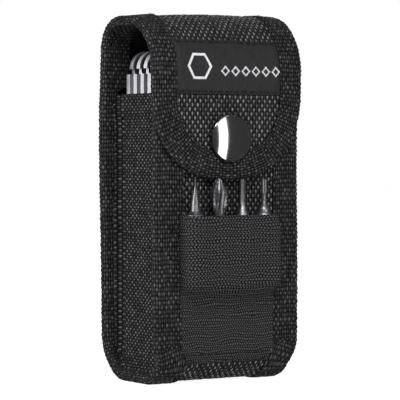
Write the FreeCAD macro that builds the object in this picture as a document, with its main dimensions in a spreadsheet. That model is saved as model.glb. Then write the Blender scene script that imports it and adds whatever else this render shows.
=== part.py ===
import FreeCAD, Part
import math
import os
import Sketcher

# A belt pouch of heavy woven nylon with a folded multi-tool and four driver bits.
# +Z is up, -Y is the front with the flap, +X is to the right of somebody who faces it.
# The origin is on the surface the pouch stands on, under the middle of its bounding box.

DRIVING = {
    # pouch body
    "body_width": 56.6,
    "body_depth": 37.6,
    "strip": 1.8,
    "tape": 0.6,
    "tape_leg": 10.5,
    "corner": 10.4,
    "wall_foot": 14.0,
    "front_top": 97.0,
    "gusset_top": 96.0,
    "gusset_recess": 5.6,
    "gusset_cloth": 1.2,
    "gusset_flange": 0.8,
    "hem": 8.0,
    # flap
    "flap_width": 58.6,
    "flap_top": 122.0,
    "flap_tip": 68.7,
    "flap_gap": 0.4,
    "back_bend": 11.0,
    "front_bend": 7.0,
    "hinge_back": 110.0,
    "hinge_front": 114.0,
    "label_low": 95.4,
    "label_gap": 0.4,
    "label_cloth": 0.4,
    # snap fastener
    "snap_height": 81.0,
    "cap_radius": 7.9,
    "cap_rim": 0.5,
    "cap_dome": 2.4,
    "post_radius": 1.9,
    "post_washer": 4.5,
    "socket_radius": 6.0,
    "socket_bore": 4.6,
    "socket_thick": 1.0,
    "spring_across": 3.1,
    "spring_radius": 0.25,
    "spring_half": 3.1,
    "stud_head": 2.8,
    "stud_flange": 5.0,
    "stud_plate": 0.4,
    "stud_neck": 0.4,
    "stud_clearance": 0.15,
    # driver bits and their elastic
    "bit_flats": 6.35,
    "bit_pitch": 9.2,
    "bit_row_start": -15.2,
    "bit_axis": 22.3,
    "bit_clearance": 0.25,
    "bit_foot": 44.0,
    "bit_shank": 12.5,
    "bit_collar": 2.9,
    "bit_neck": 14.0,
    "elastic": 0.7,
    "elastic_top": 56.0,
    "elastic_seam": 32.0,
    "elastic_foot": 9.2,
    # belt loop
    "loop_width": 35.0,
    "loop_reach": 26.9,
    "loop_low": 26.0,
    "loop_high": 100.0,
    "loop_sewn": 8.0,
    "loop_slope": 6.0,
    # folded multi-tool
    "tool_foot": 8.2,
    "tool_half": 20.2,
    "tool_split": 0.4,
    "tool_back": 13.2,
    "plate": 2.1,
    "blade": 2.3,
    "layer_gap": 0.05,
    "shoulder": 104.5,
    "notch_foot": 102.6,
    "notch_across": 18.0,
    "pin_across": 13.0,
    "pin_radius": 2.0,
    "pin_head": 3.2,
    "pin_head_thick": 0.5,
    "pin_fit": 0.04,
    "knuckle": 6.0,
    "tang": 5.4,
    "blade_outer": 19.4,
    "blade_inner": 10.6,
    "blade_tip": 39.0,
    "divider_inner": 7.6,
    "divider_foot": 28.0,
    "rivet_across": 16.5,
    "rivet_height": 33.0,
    "rivet_radius": 1.3,
    "spring_foot": 37.0,
    "spring_leg": 1.8,
    "spring_top": 99.8,
    "head_across": 10.0,
    "head_height": 15.0,
    "head_knuckle": 6.2,
    "head_thick": 10.8,
    "washer": 4.3,
    "jaw_half": 7.0,
    "jaw_gap": 0.15,
    "jaw_pivot_height": 34.0,
    "jaw_pivot_radius": 2.5,
    "jaw_shoulder": 41.5,
    "jaw_tip": 70.0,
}

SHEET = "dims"


class Size:
    """A length that carries its value and the sheet formula it is bound to."""

    def __init__(self, value, formula):
        self.value = float(value)
        self.formula = formula

    def __add__(self, other):
        other = size(other)
        return Size(self.value + other.value, f"({self.formula} + {other.formula})")

    def __sub__(self, other):
        other = size(other)
        return Size(self.value - other.value, f"({self.formula} - {other.formula})")

    def __mul__(self, other):
        other = size(other)
        return Size(self.value * other.value, f"({self.formula} * {other.formula})")

    def __truediv__(self, other):
        other = size(other)
        return Size(self.value / other.value, f"({self.formula} / {other.formula})")

    def __neg__(self):
        return Size(-self.value, f"(-{self.formula})")

    __radd__ = __add__
    __rmul__ = __mul__

    def __rsub__(self, other):
        return size(other) - self


def size(number):
    """A Size as it is, or a plain number as a Size."""
    if isinstance(number, Size):
        return number
    return Size(number, f"({number:.9g})")


class Arc:
    """An arc between the outline points before and after it; it bulges left or right of that way."""

    def __init__(self, radius, bulge="left"):
        self.radius = size(radius)
        self.side = -1 if bulge == "left" else 1


class Circle:
    """A whole circle as a loop of an outline."""

    def __init__(self, across, up, radius):
        self.centre = (size(across), size(up))
        self.radius = size(radius)


def make_sheet(doc):
    """Writes the driving dimensions into the sheet and returns them as Sizes."""
    sheet = doc.addObject("Spreadsheet::Sheet", SHEET)
    for row, (alias, value) in enumerate(DRIVING.items(), start=1):
        sheet.set(f"A{row}", alias)
        sheet.set(f"B{row}", f"{value:g}")
        sheet.setAlias(f"B{row}", alias)
    doc.recompute()
    return {alias: Size(value, f"{SHEET}.{alias}") for alias, value in DRIVING.items()}


def bind(feature, prop, length):
    """Binds a property to the sheet through a formula."""
    feature.setExpression(prop, size(length).formula)


def new_body(doc, name):
    """A PartDesign body whose label is the node's name."""
    body = doc.addObject("PartDesign::Body", name)
    body.Label = name
    body.AllowCompound = True
    return body


def origin_plane(body, role):
    """One of the body's own origin planes or axes."""
    return next(item for item in body.Origin.OriginFeatures if item.Role == role)


def place(body, across, back, up, axis=(0, 0, 1), turn=0):
    """Places a body, bound to the sheet, turned by some degrees about an axis of its own."""
    spot = [size(across), size(back), size(up)]
    body.Placement = FreeCAD.Placement(FreeCAD.Vector(*[length.value for length in spot]),
                                       FreeCAD.Rotation(FreeCAD.Vector(*axis), turn))
    for letter, length in zip("xyz", spot):
        bind(body, f"Placement.Base.{letter}", length)


def face_front(body, back, up):
    """Turns a body built along Z so that its top faces the front, and places it."""
    place(body, 0, back, up, axis=(1, 0, 0), turn=90)


def arc_edge(start, end, arc):
    """The shorter circular arc from start to end with the arc's radius and side."""
    first = FreeCAD.Vector(start[0].value, start[1].value, 0)
    last = FreeCAD.Vector(end[0].value, end[1].value, 0)
    middle = (first + last) * 0.5
    half = (last - first) * 0.5
    radius = arc.radius.value
    rise = math.sqrt(max(radius ** 2 - half.Length ** 2, 0.0))
    left = FreeCAD.Vector(-half.y, half.x, 0).normalize()
    centre = middle + left * (rise * arc.side)
    start_angle = math.atan2(first.y - centre.y, first.x - centre.x)
    end_angle = math.atan2(last.y - centre.y, last.x - centre.x)
    circle = Part.Circle(centre, FreeCAD.Vector(0, 0, 1), radius)
    if arc.side > 0:
        return Part.ArcOfCircle(circle, start_angle, end_angle), 1, 2
    return Part.ArcOfCircle(circle, end_angle, start_angle), 2, 1


def fix_point(sketch, edge, end, point):
    """Holds an edge's end at a point given from the sketch's origin."""
    for kind, length in (("DistanceX", point[0]), ("DistanceY", point[1])):
        number = sketch.addConstraint(Sketcher.Constraint(kind, -1, 1, edge, end, length.value))
        sketch.setExpression(f"Constraints[{number}]", length.formula)


def fix_radius(sketch, edge, radius):
    """Holds the radius of an arc or a circle."""
    number = sketch.addConstraint(Sketcher.Constraint("Radius", edge, radius.value))
    sketch.setExpression(f"Constraints[{number}]", radius.formula)


def draw_circle(sketch, loop):
    """Draws one circle."""
    centre = FreeCAD.Vector(loop.centre[0].value, loop.centre[1].value, 0)
    edge = sketch.addGeometry(Part.Circle(centre, FreeCAD.Vector(0, 0, 1), loop.radius.value))
    fix_radius(sketch, edge, loop.radius)
    fix_point(sketch, edge, 3, loop.centre)


def draw_loop(sketch, loop):
    """Draws one closed loop of points, joined by lines or by the arcs between them."""
    points = []
    arcs = {}
    for item in loop:
        if isinstance(item, Arc):
            arcs[len(points) - 1] = item
        else:
            points.append((size(item[0]), size(item[1])))
    edges = []
    for index, start in enumerate(points):
        end = points[(index + 1) % len(points)]
        if index in arcs:
            shape, first, last = arc_edge(start, end, arcs[index])
        else:
            shape = Part.LineSegment(FreeCAD.Vector(start[0].value, start[1].value, 0),
                                     FreeCAD.Vector(end[0].value, end[1].value, 0))
            first, last = 1, 2
        edges.append((sketch.addGeometry(shape), first, last))
    for index, (edge, first, last) in enumerate(edges):
        following = edges[(index + 1) % len(edges)]
        sketch.addConstraint(Sketcher.Constraint("Coincident", edge, last, following[0], following[1]))
    for index, (edge, first, last) in enumerate(edges):
        fix_point(sketch, edge, first, points[index])
        if index in arcs:
            fix_radius(sketch, edge, arcs[index].radius)


def draw(body, plane, loops, offset):
    """A sketch of closed loops, parallel to an origin plane and offset along its normal."""
    sketch = body.newObject("Sketcher::SketchObject", "Sketch")
    sketch.AttachmentSupport = [(origin_plane(body, plane), "")]
    sketch.MapMode = "FlatFace"
    bind(sketch, "AttachmentOffset.Base.z", offset)
    for loop in loops:
        if isinstance(loop, Circle):
            draw_circle(sketch, loop)
        else:
            draw_loop(sketch, loop)
    return sketch


def extrude(body, kind, plane, loops, low, high):
    """Pads or pockets loops between two positions on the axis that the plane faces."""
    low = size(low)
    high = size(high)
    offset = -high if plane == "XZ_Plane" else low
    feature = body.newObject(f"PartDesign::{kind}", kind)
    feature.Profile = draw(body, plane, loops, offset)
    bind(feature, "Length", high - low)
    feature.Reversed = kind == "Pocket"
    body.Tip = feature
    return feature


def pad(body, plane, loops, low, high):
    """Adds loops as a solid between two positions."""
    return extrude(body, "Pad", plane, loops, low, high)


def pocket(body, plane, loops, low, high):
    """Cuts loops away between two positions."""
    return extrude(body, "Pocket", plane, loops, low, high)


def revolve(body, loop):
    """Turns a half outline in the XZ plane about the body's Z axis."""
    feature = body.newObject("PartDesign::Revolution", "Revolution")
    feature.Profile = draw(body, "XZ_Plane", [loop], size(0))
    feature.ReferenceAxis = (origin_plane(body, "Z_Axis"), [""])
    feature.Angle = 360
    body.Tip = feature
    return feature


def around(body, feature, count):
    """Repeats a feature about the body's Z axis."""
    pattern = body.newObject("PartDesign::PolarPattern", "PolarPattern")
    pattern.Originals = [feature]
    pattern.Axis = (origin_plane(body, "Z_Axis"), [""])
    pattern.Angle = 360
    pattern.Occurrences = count
    body.Tip = pattern


def mirrored(doc, source, name):
    """The right-hand twin of a left-hand piece."""
    twin = doc.addObject("Part::Mirroring", name)
    twin.Label = name
    twin.Source = source
    twin.Base = FreeCAD.Vector(0, 0, 0)
    twin.Normal = FreeCAD.Vector(1, 0, 0)
    return twin


def rectangle(left, right, low, high):
    """A rectangular loop."""
    return [(left, low), (right, low), (right, high), (left, high)]


def hexagon(flats):
    """A regular hexagon about the origin, flats on the left and right."""
    half = size(flats) / 2
    corner = half * (2 / math.sqrt(3))
    return [(half, corner / 2), (0, corner), (-half, corner / 2),
            (-half, -corner / 2), (0, -corner), (half, -corner / 2)]


def trough(half, low, radius, thick, top):
    """A U-shaped band with rounded corners, open at the top, the same at front and back."""
    inner = half - thick
    bend = radius - thick
    turn = half - radius
    return [
        (-half, top), (-half, low + radius), Arc(radius, "right"), (-turn, low),
        (turn, low), Arc(radius, "right"), (half, low + radius), (half, top),
        (inner, top), (inner, low + radius), Arc(bend, "left"), (turn, low + thick),
        (-turn, low + thick), Arc(bend, "left"), (-inner, low + radius), (-inner, top)]


class Pouch:
    """Sizes worked out from the sheet that several pieces share."""

    def __init__(self, d):
        self.d = d
        self.half_width = d["body_width"] / 2
        self.half_depth = d["body_depth"] / 2
        self.face = self.half_depth - d["tape"]
        self.lining = self.face - d["strip"]
        self.tape_inner = self.half_width - d["tape_leg"]
        self.core_half = self.half_width - d["tape"]
        self.gusset_face = self.half_width - d["gusset_recess"]
        self.core_corner = d["corner"] - d["tape"]
        self.flap_half = d["flap_width"] / 2
        self.flap_core_half = self.flap_half - d["tape"]
        self.flap_tape_inner = self.flap_half - d["tape_leg"]
        self.flap_under = -(self.half_depth + d["flap_gap"])
        self.flap_lining = self.flap_under - d["tape"]
        self.flap_face = self.flap_lining - d["strip"]
        self.flap_outer = self.flap_face - d["tape"]
        self.flap_centre = d["flap_tip"] + self.flap_half
        self.core_top = d["flap_top"] - d["tape"]
        self.bits = [d["bit_row_start"] + d["bit_pitch"] * step for step in range(4)]
        self.bit_hole = d["bit_flats"] / math.sqrt(3) + d["bit_clearance"]


def make_front_panel(doc, d, p):
    """The front wall of the strip, with the hole for the snap's post."""
    body = new_body(doc, "front_panel")
    wall = rectangle(-p.core_half, p.core_half, d["wall_foot"], d["front_top"])
    pad(body, "XZ_Plane", [wall, Circle(0, d["snap_height"], d["post_radius"])], -p.face, -p.lining)
    return body


def make_base_panel(doc, d, p):
    """The strip's way under the pouch, from the front corner to the back one."""
    body = new_body(doc, "base_panel")
    loop = trough(p.face, d["tape"], p.core_corner, d["strip"], d["wall_foot"])
    pad(body, "YZ_Plane", [loop], -p.core_half, p.core_half)
    return body


def make_back_panel(doc, d, p):
    """The back wall of the strip, up to the line where the flap bends."""
    body = new_body(doc, "back_panel")
    wall = rectangle(-p.core_half, p.core_half, d["wall_foot"], d["hinge_back"])
    pad(body, "XZ_Plane", [wall], p.lining, p.face)
    return body


def make_gussets(doc, d, p):
    """A side wall and the flange that joins it to the strip, left and right."""
    body = new_body(doc, "left_gusset")
    low = d["tape"] + d["strip"]
    radius = p.core_corner - d["strip"]
    turn = p.lining - radius
    side = [
        (-p.lining, d["gusset_top"]), (-p.lining, low + radius), Arc(radius, "right"), (-turn, low),
        (turn, low), Arc(radius, "right"), (p.lining, low + radius), (p.lining, d["gusset_top"])]
    pad(body, "YZ_Plane", [side], -p.gusset_face, -(p.gusset_face - d["gusset_cloth"]))
    flange = trough(p.lining, low, radius, d["gusset_flange"], d["gusset_top"])
    pad(body, "YZ_Plane", [flange], -p.core_half, -p.gusset_face)
    return [body, mirrored(doc, body, "right_gusset")]


def make_gusset_hems(doc, d, p):
    """The folded edge along the top of each gusset, on the side that faces the tool."""
    body = new_body(doc, "left_gusset_hem")
    inner = p.gusset_face - d["gusset_cloth"]
    band = rectangle(-p.lining, p.lining, d["gusset_top"] - d["hem"], d["gusset_top"])
    pad(body, "YZ_Plane", [band], -inner, -(inner - d["tape"]))
    return [body, mirrored(doc, body, "right_gusset_hem")]


def make_front_hem(doc, d, p):
    """Tape folded over the top edge of the front panel."""
    body = new_body(doc, "front_hem")
    low = d["front_top"] - d["hem"]
    high = d["front_top"] + d["tape"]
    inside = p.lining - d["tape"]
    section = [
        (-p.half_depth, low), (-p.face, low), (-p.face, d["front_top"]),
        (-p.lining, d["front_top"]), (-p.lining, low), (-inside, low),
        (-inside, high), (-p.half_depth, high)]
    pad(body, "YZ_Plane", [section], -p.tape_inner, p.tape_inner)
    return body


def make_body_bindings(doc, d, p):
    """Tape folded over the strip's side edge, from the front hem round to the flap's hinge."""
    body = new_body(doc, "left_binding")
    low = d["tape"] + d["strip"] + d["gusset_flange"]
    radius = p.core_corner - d["strip"] - d["gusset_flange"]
    seam = p.lining - d["gusset_flange"]
    outer_leg = trough(p.half_depth, size(0), d["corner"], d["tape"], d["hinge_back"])
    edge = trough(p.half_depth, size(0), d["corner"], low + d["tape"], d["hinge_back"])
    inner_leg = trough(seam, low, radius, d["tape"], d["gusset_top"])
    pad(body, "YZ_Plane", [outer_leg], -p.half_width, -p.tape_inner)
    pad(body, "YZ_Plane", [edge], -p.half_width, -p.core_half)
    pad(body, "YZ_Plane", [inner_leg], -p.core_half, -p.gusset_face)
    upper = rectangle(p.lining - d["tape"], p.lining, d["gusset_top"], d["hinge_back"])
    pad(body, "YZ_Plane", [upper], -p.core_half, -p.tape_inner)
    above_front = rectangle(-p.half_depth - d["hem"], 0, d["front_top"] + d["tape"],
                            d["hinge_back"] + d["hem"])
    pocket(body, "YZ_Plane", [above_front], -p.half_width, -p.tape_inner)
    return [body, mirrored(doc, body, "right_binding")]


def make_belt_loop(doc, d, p):
    """Webbing sewn to the back at both ends, with room for a belt behind it."""
    body = new_body(doc, "belt_loop")
    sewn_face = p.face + d["strip"]
    inside = d["loop_reach"] - d["strip"]
    low = d["loop_low"] + d["loop_sewn"]
    high = d["loop_high"] - d["loop_sewn"]
    section = [
        (p.face, d["loop_low"]), (sewn_face, d["loop_low"]), (sewn_face, low),
        (d["loop_reach"], low + d["loop_slope"]), (d["loop_reach"], high - d["loop_slope"]),
        (sewn_face, high), (sewn_face, d["loop_high"]), (p.face, d["loop_high"]),
        (p.face, high - d["tape"]), (inside, high - d["loop_slope"] - d["tape"]),
        (inside, low + d["loop_slope"] + d["tape"]), (p.face, low + d["tape"])]
    half = d["loop_width"] / 2
    pad(body, "YZ_Plane", [section], -half, half)
    return body


def make_belt_loop_tacks(doc, d, p):
    """Bar tacks of thick thread across the loop's two sewn ends."""
    body = new_body(doc, "belt_loop_tacks")
    half = d["loop_width"] / 2 - d["strip"]
    face = p.face + d["strip"]
    middles = (d["loop_low"] + d["loop_sewn"] / 2, d["loop_high"] - d["loop_sewn"] / 2)
    for middle in middles:
        bar = rectangle(-half, half, middle - d["tape"], middle + d["tape"])
        pad(body, "XZ_Plane", [bar], face, face + d["label_cloth"])
    return body


def make_elastic_pocket(doc, d, p):
    """Elastic sewn into four tubes that each hold a bit, and flat below them."""
    body = new_body(doc, "elastic_pocket")
    outer = d["bit_pitch"] / 2
    left = p.bits[0] - outer
    right = p.bits[-1] + outer
    section = [(-p.tape_inner, -p.face), (-p.tape_inner, -p.half_depth), (left, -p.half_depth)]
    for axis in p.bits:
        section += [(axis - outer, -d["bit_axis"]), Arc(outer, "right"),
                    (axis, -d["bit_axis"] - outer), Arc(outer, "right")]
    section += [(right, -d["bit_axis"]), (right, -p.face)]
    holes = [Circle(axis, -d["bit_axis"], p.bit_hole) for axis in p.bits]
    pad(body, "XY_Plane", [section] + holes, d["elastic_seam"], d["elastic_top"])
    flat = rectangle(-p.tape_inner, p.tape_inner, d["elastic_foot"], d["elastic_seam"])
    pad(body, "XZ_Plane", [flat], -p.face - d["elastic"] * 2, -p.face)
    return body


def make_snap_stud(doc, d, p):
    """The snap's stud: a flange on the front panel, a neck and a round head."""
    body = new_body(doc, "snap_stud")
    neck = d["stud_plate"] + d["stud_neck"]
    top = -p.flap_lining - p.face - d["stud_clearance"]
    profile = [
        (0, 0), (d["stud_flange"], 0), (d["stud_flange"], d["stud_plate"]),
        (d["post_radius"], d["stud_plate"]), (d["post_radius"], neck),
        (d["stud_head"], neck), (d["stud_head"], top), (0, top)]
    revolve(body, profile)
    face_front(body, -p.face, d["snap_height"])
    return body


def make_stud_post(doc, d, p):
    """The stud's post through the front panel, and its washer on the inside."""
    body = new_body(doc, "stud_post")
    washer = d["cap_rim"]
    profile = [
        (0, 0), (d["post_washer"], 0), (d["post_washer"], washer), (d["post_radius"], washer),
        (d["post_radius"], washer + d["strip"]), (0, washer + d["strip"])]
    revolve(body, profile)
    face_front(body, -p.lining + washer, d["snap_height"])
    return body


def lid(d, p, outside, thick):
    """The band of the strip over the pouch's top: outside is how far it lies off the strip's face."""
    back = p.face + outside
    front = p.flap_face - outside
    top = p.core_top + outside
    behind = d["back_bend"] + outside
    ahead = d["front_bend"] + outside
    return [
        (back, d["hinge_back"]), (back, top - behind), Arc(behind, "right"), (back - behind, top),
        (front + ahead, top), Arc(ahead, "right"), (front, top - ahead), (front, d["hinge_front"]),
        (front + thick, d["hinge_front"]), (front + thick, top - ahead), Arc(ahead - thick, "left"),
        (front + ahead, top - thick), (back - behind, top - thick), Arc(behind - thick, "left"),
        (back - thick, top - behind), (back - thick, d["hinge_back"])]


def make_flap_top_panel(doc, d, p):
    """The strip's way over the top, from the back bend to the front one."""
    body = new_body(doc, "flap_top_panel")
    loop = lid(d, p, size(0), d["strip"])
    pad(body, "YZ_Plane", [loop], -p.flap_core_half, p.flap_core_half)
    return body


def make_flap_top_bindings(doc, d, p):
    """The edge tape over the top, left and right."""
    body = new_body(doc, "left_flap_top_binding")
    fold = d["strip"] + d["tape"] * 2
    pad(body, "YZ_Plane", [lid(d, p, d["tape"], d["tape"])], -p.flap_half, -p.flap_tape_inner)
    pad(body, "YZ_Plane", [lid(d, p, d["tape"], fold)], -p.flap_half, -p.flap_core_half)
    pad(body, "YZ_Plane", [lid(d, p, -d["strip"], d["tape"])], -p.flap_core_half, -p.flap_tape_inner)
    return [body, mirrored(doc, body, "right_flap_top_binding")]


def make_flap_panel(doc, d, p):
    """The hanging part of the flap with its round tip and the hole for the snap."""
    body = new_body(doc, "flap_panel")
    half = p.flap_core_half
    tongue = [
        (-half, d["hinge_front"]), (-half, p.flap_centre), Arc(half, "right"),
        (0, p.flap_centre - half), Arc(half, "right"), (half, p.flap_centre),
        (half, d["hinge_front"])]
    hole = Circle(0, d["snap_height"], d["post_radius"])
    pad(body, "XZ_Plane", [tongue, hole], p.flap_face, p.flap_lining)
    return body


def collar(d, p, outer, inner):
    """The outline of tape that follows the flap's sides and its round tip."""
    return [
        (-outer, d["hinge_front"]), (-outer, p.flap_centre), Arc(outer, "right"),
        (0, p.flap_centre - outer), Arc(outer, "right"), (outer, p.flap_centre),
        (outer, d["hinge_front"]), (inner, d["hinge_front"]), (inner, p.flap_centre),
        Arc(inner, "left"), (0, p.flap_centre - inner), Arc(inner, "left"),
        (-inner, p.flap_centre), (-inner, d["hinge_front"])]


def make_flap_binding(doc, d, p):
    """The edge tape of the hanging flap, cut out where the snap's two halves go through."""
    body = new_body(doc, "flap_binding")
    leg = collar(d, p, p.flap_half, p.flap_tape_inner)
    edge = collar(d, p, p.flap_half, p.flap_core_half)
    pad(body, "XZ_Plane", [leg], p.flap_outer, p.flap_face)
    pad(body, "XZ_Plane", [edge], p.flap_outer, p.flap_under)
    pad(body, "XZ_Plane", [leg], p.flap_lining, p.flap_under)
    post = Circle(0, d["snap_height"], d["post_radius"])
    socket = Circle(0, d["snap_height"], d["socket_radius"])
    pocket(body, "XZ_Plane", [post], p.flap_outer, p.flap_face)
    pocket(body, "XZ_Plane", [socket], p.flap_lining, p.flap_under)
    return body


def make_label(doc, d, p):
    """A woven satin label across the flap between its two tapes."""
    body = new_body(doc, "label")
    cloth = rectangle(-p.flap_tape_inner, p.flap_tape_inner, d["label_low"],
                      d["hinge_front"] - d["label_gap"])
    pad(body, "XZ_Plane", [cloth], p.flap_face - d["label_cloth"], p.flap_face)
    return body


def make_snap_cap(doc, d, p):
    """The snap's domed cap and its post through the flap."""
    body = new_body(doc, "snap_cap")
    rise = d["cap_dome"] - d["cap_rim"]
    dome = (d["cap_radius"] * d["cap_radius"] + rise * rise) / (rise * 2)
    foot = p.flap_outer - p.flap_lining
    profile = [
        (0, foot), (d["post_radius"], foot), (d["post_radius"], 0), (d["cap_radius"], 0),
        (d["cap_radius"], d["cap_rim"]), Arc(dome, "right"), (0, d["cap_dome"])]
    revolve(body, profile)
    face_front(body, p.flap_outer, d["snap_height"])
    return body


def make_snap_socket(doc, d, p):
    """The ring behind the flap that closes over the stud."""
    body = new_body(doc, "snap_socket")
    profile = rectangle(d["socket_bore"], d["socket_radius"], 0, d["socket_thick"])
    revolve(body, profile)
    face_front(body, p.flap_lining + d["socket_thick"], d["snap_height"])
    return body


def make_snap_spring(doc, d, p):
    """The two spring wires in the socket that grip the stud's neck."""
    body = new_body(doc, "snap_spring")
    middle = p.flap_lining + d["socket_thick"] / 2
    wires = [Circle(d["spring_across"] * side, middle, d["spring_radius"]) for side in (-1, 1)]
    low = d["snap_height"] - d["spring_half"]
    pad(body, "XY_Plane", wires, low, d["snap_height"] + d["spring_half"])
    return body


def start_bit(doc, d, p, number, name, turn=0):
    """A bit's hexagonal shank and collar, in its place in the row."""
    body = new_body(doc, name)
    pad(body, "XY_Plane", [hexagon(d["bit_flats"])], 0, d["bit_shank"])
    pad(body, "XY_Plane", [Circle(0, 0, d["bit_collar"])], d["bit_shank"], d["bit_neck"])
    place(body, p.bits[number], -d["bit_axis"], d["bit_foot"], turn=turn)
    return body


def make_slotted_bit(doc, d, p):
    """A bit for slotted screws: a round shaft ground down to a flat blade."""
    body = start_bit(doc, d, p, 0, "slotted_bit", turn=-33)
    shaft, tip, ground, top = 2.2, 0.4, 18.0, 25.5
    clear = shaft + 0.5
    pad(body, "XY_Plane", [Circle(0, 0, shaft)], d["bit_neck"], top)
    for side in (-1, 1):
        wedge = [(tip * side, top), (clear * side, top), (clear * side, ground), (shaft * side, ground)]
        pocket(body, "XZ_Plane", [wedge], -clear, clear)
    return body


def make_phillips_bit(doc, d, p):
    """A bit for cross-head screws: a cone with four flutes."""
    body = start_bit(doc, d, p, 1, "phillips_bit", turn=12)
    head, tip, cone, top = 2.8, 0.6, 20.0, 23.8
    profile = [(0, d["bit_neck"]), (2.1, d["bit_neck"]), (2.1, 16.0), (head, 17.5), (head, cone),
               (tip, top), (0, top)]
    revolve(body, profile)
    flute = pocket(body, "XY_Plane", [Circle(1.75, 1.75, 1.35)], 18.0, top + 1)
    around(body, flute, 4)
    return body


def make_hex_bit(doc, d, p):
    """A bit for socket-head screws: a slim hexagonal shaft."""
    body = start_bit(doc, d, p, 2, "hex_bit")
    pad(body, "XY_Plane", [hexagon(2.5)], d["bit_neck"], 23.5)
    return body


def make_star_bit(doc, d, p):
    """A bit for star-head screws: a slim shaft with six flutes at its end."""
    body = start_bit(doc, d, p, 3, "star_bit")
    shaft, top = 1.35, 24.5
    pad(body, "XY_Plane", [Circle(0, 0, shaft)], d["bit_neck"], top)
    flute = pocket(body, "XY_Plane", [Circle(shaft + 0.1, 0, 0.35)], top - 4.0, top + 1)
    around(body, flute, 6)
    return body


class Tool:
    """Places of the folded tool's layers, counted from the back."""

    def __init__(self, d):
        self.d = d
        self.pitch = d["plate"] + d["blade"] + d["layer_gap"] * 2
        self.pin_hole = d["pin_radius"] + d["pin_fit"]
        self.rivet_hole = d["rivet_radius"] + d["pin_fit"]
        self.front = self.plate(4)[0]
        self.middle = (self.front + d["tool_back"]) / 2

    def plate(self, number):
        """The front and back faces of one of the five frame plates."""
        back = self.d["tool_back"] - self.pitch * number
        return back - self.d["plate"], back

    def blade(self, number):
        """The front and back faces of one of the four blades between the plates."""
        back = self.d["tool_back"] - self.d["plate"] - self.d["layer_gap"] - self.pitch * number
        return back - self.d["blade"], back


def knuckle(d, side):
    """The rounded top of a plate over its pin, from the inner side to the notch below it."""
    across = d["pin_across"] * side
    reach = d["knuckle"] * side
    bulge = "right" if side < 0 else "left"
    return [(across - reach, d["shoulder"]), Arc(d["knuckle"], bulge),
            (across, d["shoulder"] + d["knuckle"]), Arc(d["knuckle"], bulge),
            (across + reach, d["shoulder"]), (d["notch_across"] * side, d["shoulder"]),
            (d["notch_across"] * side, d["notch_foot"]), (d["tool_half"] * side, d["notch_foot"])]


def make_handle_plate(doc, d, t, name, side, layer):
    """One outer plate of a handle, with holes for its pins and its rivet."""
    body = new_body(doc, name)
    bulge = "right" if side < 0 else "left"
    outer = d["tool_half"] * side
    inner = d["tool_split"] * side
    big, small = 8.0, 5.6
    outline = [
        (outer, d["tool_foot"] + big), Arc(big, bulge), (outer - big * side, d["tool_foot"]),
        (inner + small * side, d["tool_foot"]), Arc(small, bulge), (inner, d["tool_foot"] + small),
        (inner, d["shoulder"] - 8.0)]
    outline += knuckle(d, side)
    holes = [
        Circle(d["pin_across"] * side, d["shoulder"], t.pin_hole),
        Circle(d["head_across"] * side, d["head_height"], t.pin_hole),
        Circle(d["rivet_across"] * side, d["rivet_height"], t.rivet_hole)]
    pad(body, "XZ_Plane", [outline] + holes, *t.plate(layer))
    return body


def make_dividers(doc, d, t, name, side):
    """The three plates between a handle's tools."""
    body = new_body(doc, name)
    outer = d["tool_half"] * side
    inner = d["divider_inner"] * side
    outline = [(outer, d["divider_foot"]), (inner, d["divider_foot"]), (inner, d["shoulder"] - 8.0)]
    outline += knuckle(d, side)
    holes = [
        Circle(d["pin_across"] * side, d["shoulder"], t.pin_hole),
        Circle(d["rivet_across"] * side, d["rivet_height"], t.rivet_hole)]
    for layer in (1, 2, 3):
        pad(body, "XZ_Plane", [outline] + holes, *t.plate(layer))
    return body


def make_springs(doc, d, t, name, side):
    """The four back springs of a handle, riveted at the foot, that press on the tangs."""
    body = new_body(doc, name)
    inner = (d["divider_inner"] + d["layer_gap"] * 4) * side
    outer = d["blade_outer"] * side
    leg = inner + d["spring_leg"] * side
    foot = d["divider_foot"] + 1.0
    outline = [(outer, foot), (inner, foot), (inner, d["spring_top"]), (leg, d["spring_top"]),
               (leg, d["spring_foot"]), (outer, d["spring_foot"])]
    hole = Circle(d["rivet_across"] * side, d["rivet_height"], t.rivet_hole)
    for layer in range(4):
        pad(body, "XZ_Plane", [outline, hole], *t.blade(layer))
    return body


def knife_outline(d):
    """A drop-point blade, edge inwards."""
    tip = d["blade_tip"]
    return [(d["blade_outer"], tip + 16.0), (d["blade_outer"] - 3.0, tip + 4.0),
            (d["blade_outer"] - 6.0, tip), (d["blade_inner"], tip + 10.0)]


def saw_outline(d):
    """A straight blade with teeth along its outer edge."""
    teeth = 18
    step = (d["shoulder"] - d["tang"] - d["blade_tip"] - 4.0) / teeth
    outline = []
    for tooth in range(teeth, 0, -1):
        root = d["blade_tip"] + 4.0 + step * tooth
        outline += [(d["blade_outer"], root), (d["blade_outer"] - 0.9, root - step * 0.8)]
    outline += [(d["blade_outer"] - 2.0, d["blade_tip"]), (d["blade_inner"], d["blade_tip"])]
    return outline


def can_opener_outline(d):
    """A short blade with a hook near its end."""
    tip = d["blade_tip"] + 26.0
    return [(d["blade_outer"], tip + 16.0), (d["blade_outer"] - 4.5, tip + 12.0),
            (d["blade_outer"] - 1.0, tip + 8.0), (d["blade_outer"] - 2.5, tip),
            (d["blade_inner"], tip + 1.0)]


def bottle_opener_outline(d):
    """A short blade with a notch in its side and a screwdriver's edge."""
    tip = d["blade_tip"] + 22.0
    return [(d["blade_outer"], tip + 20.0), (d["blade_outer"] - 4.0, tip + 16.0),
            (d["blade_outer"] - 4.0, tip + 10.0), (d["blade_outer"], tip + 7.0),
            (d["blade_outer"] - 1.5, tip), (d["blade_inner"] + 1.5, tip)]


def file_outline(d):
    """A flat file."""
    return [(d["blade_outer"] - 0.8, d["blade_tip"]), (d["blade_inner"] + 0.8, d["blade_tip"])]


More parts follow.
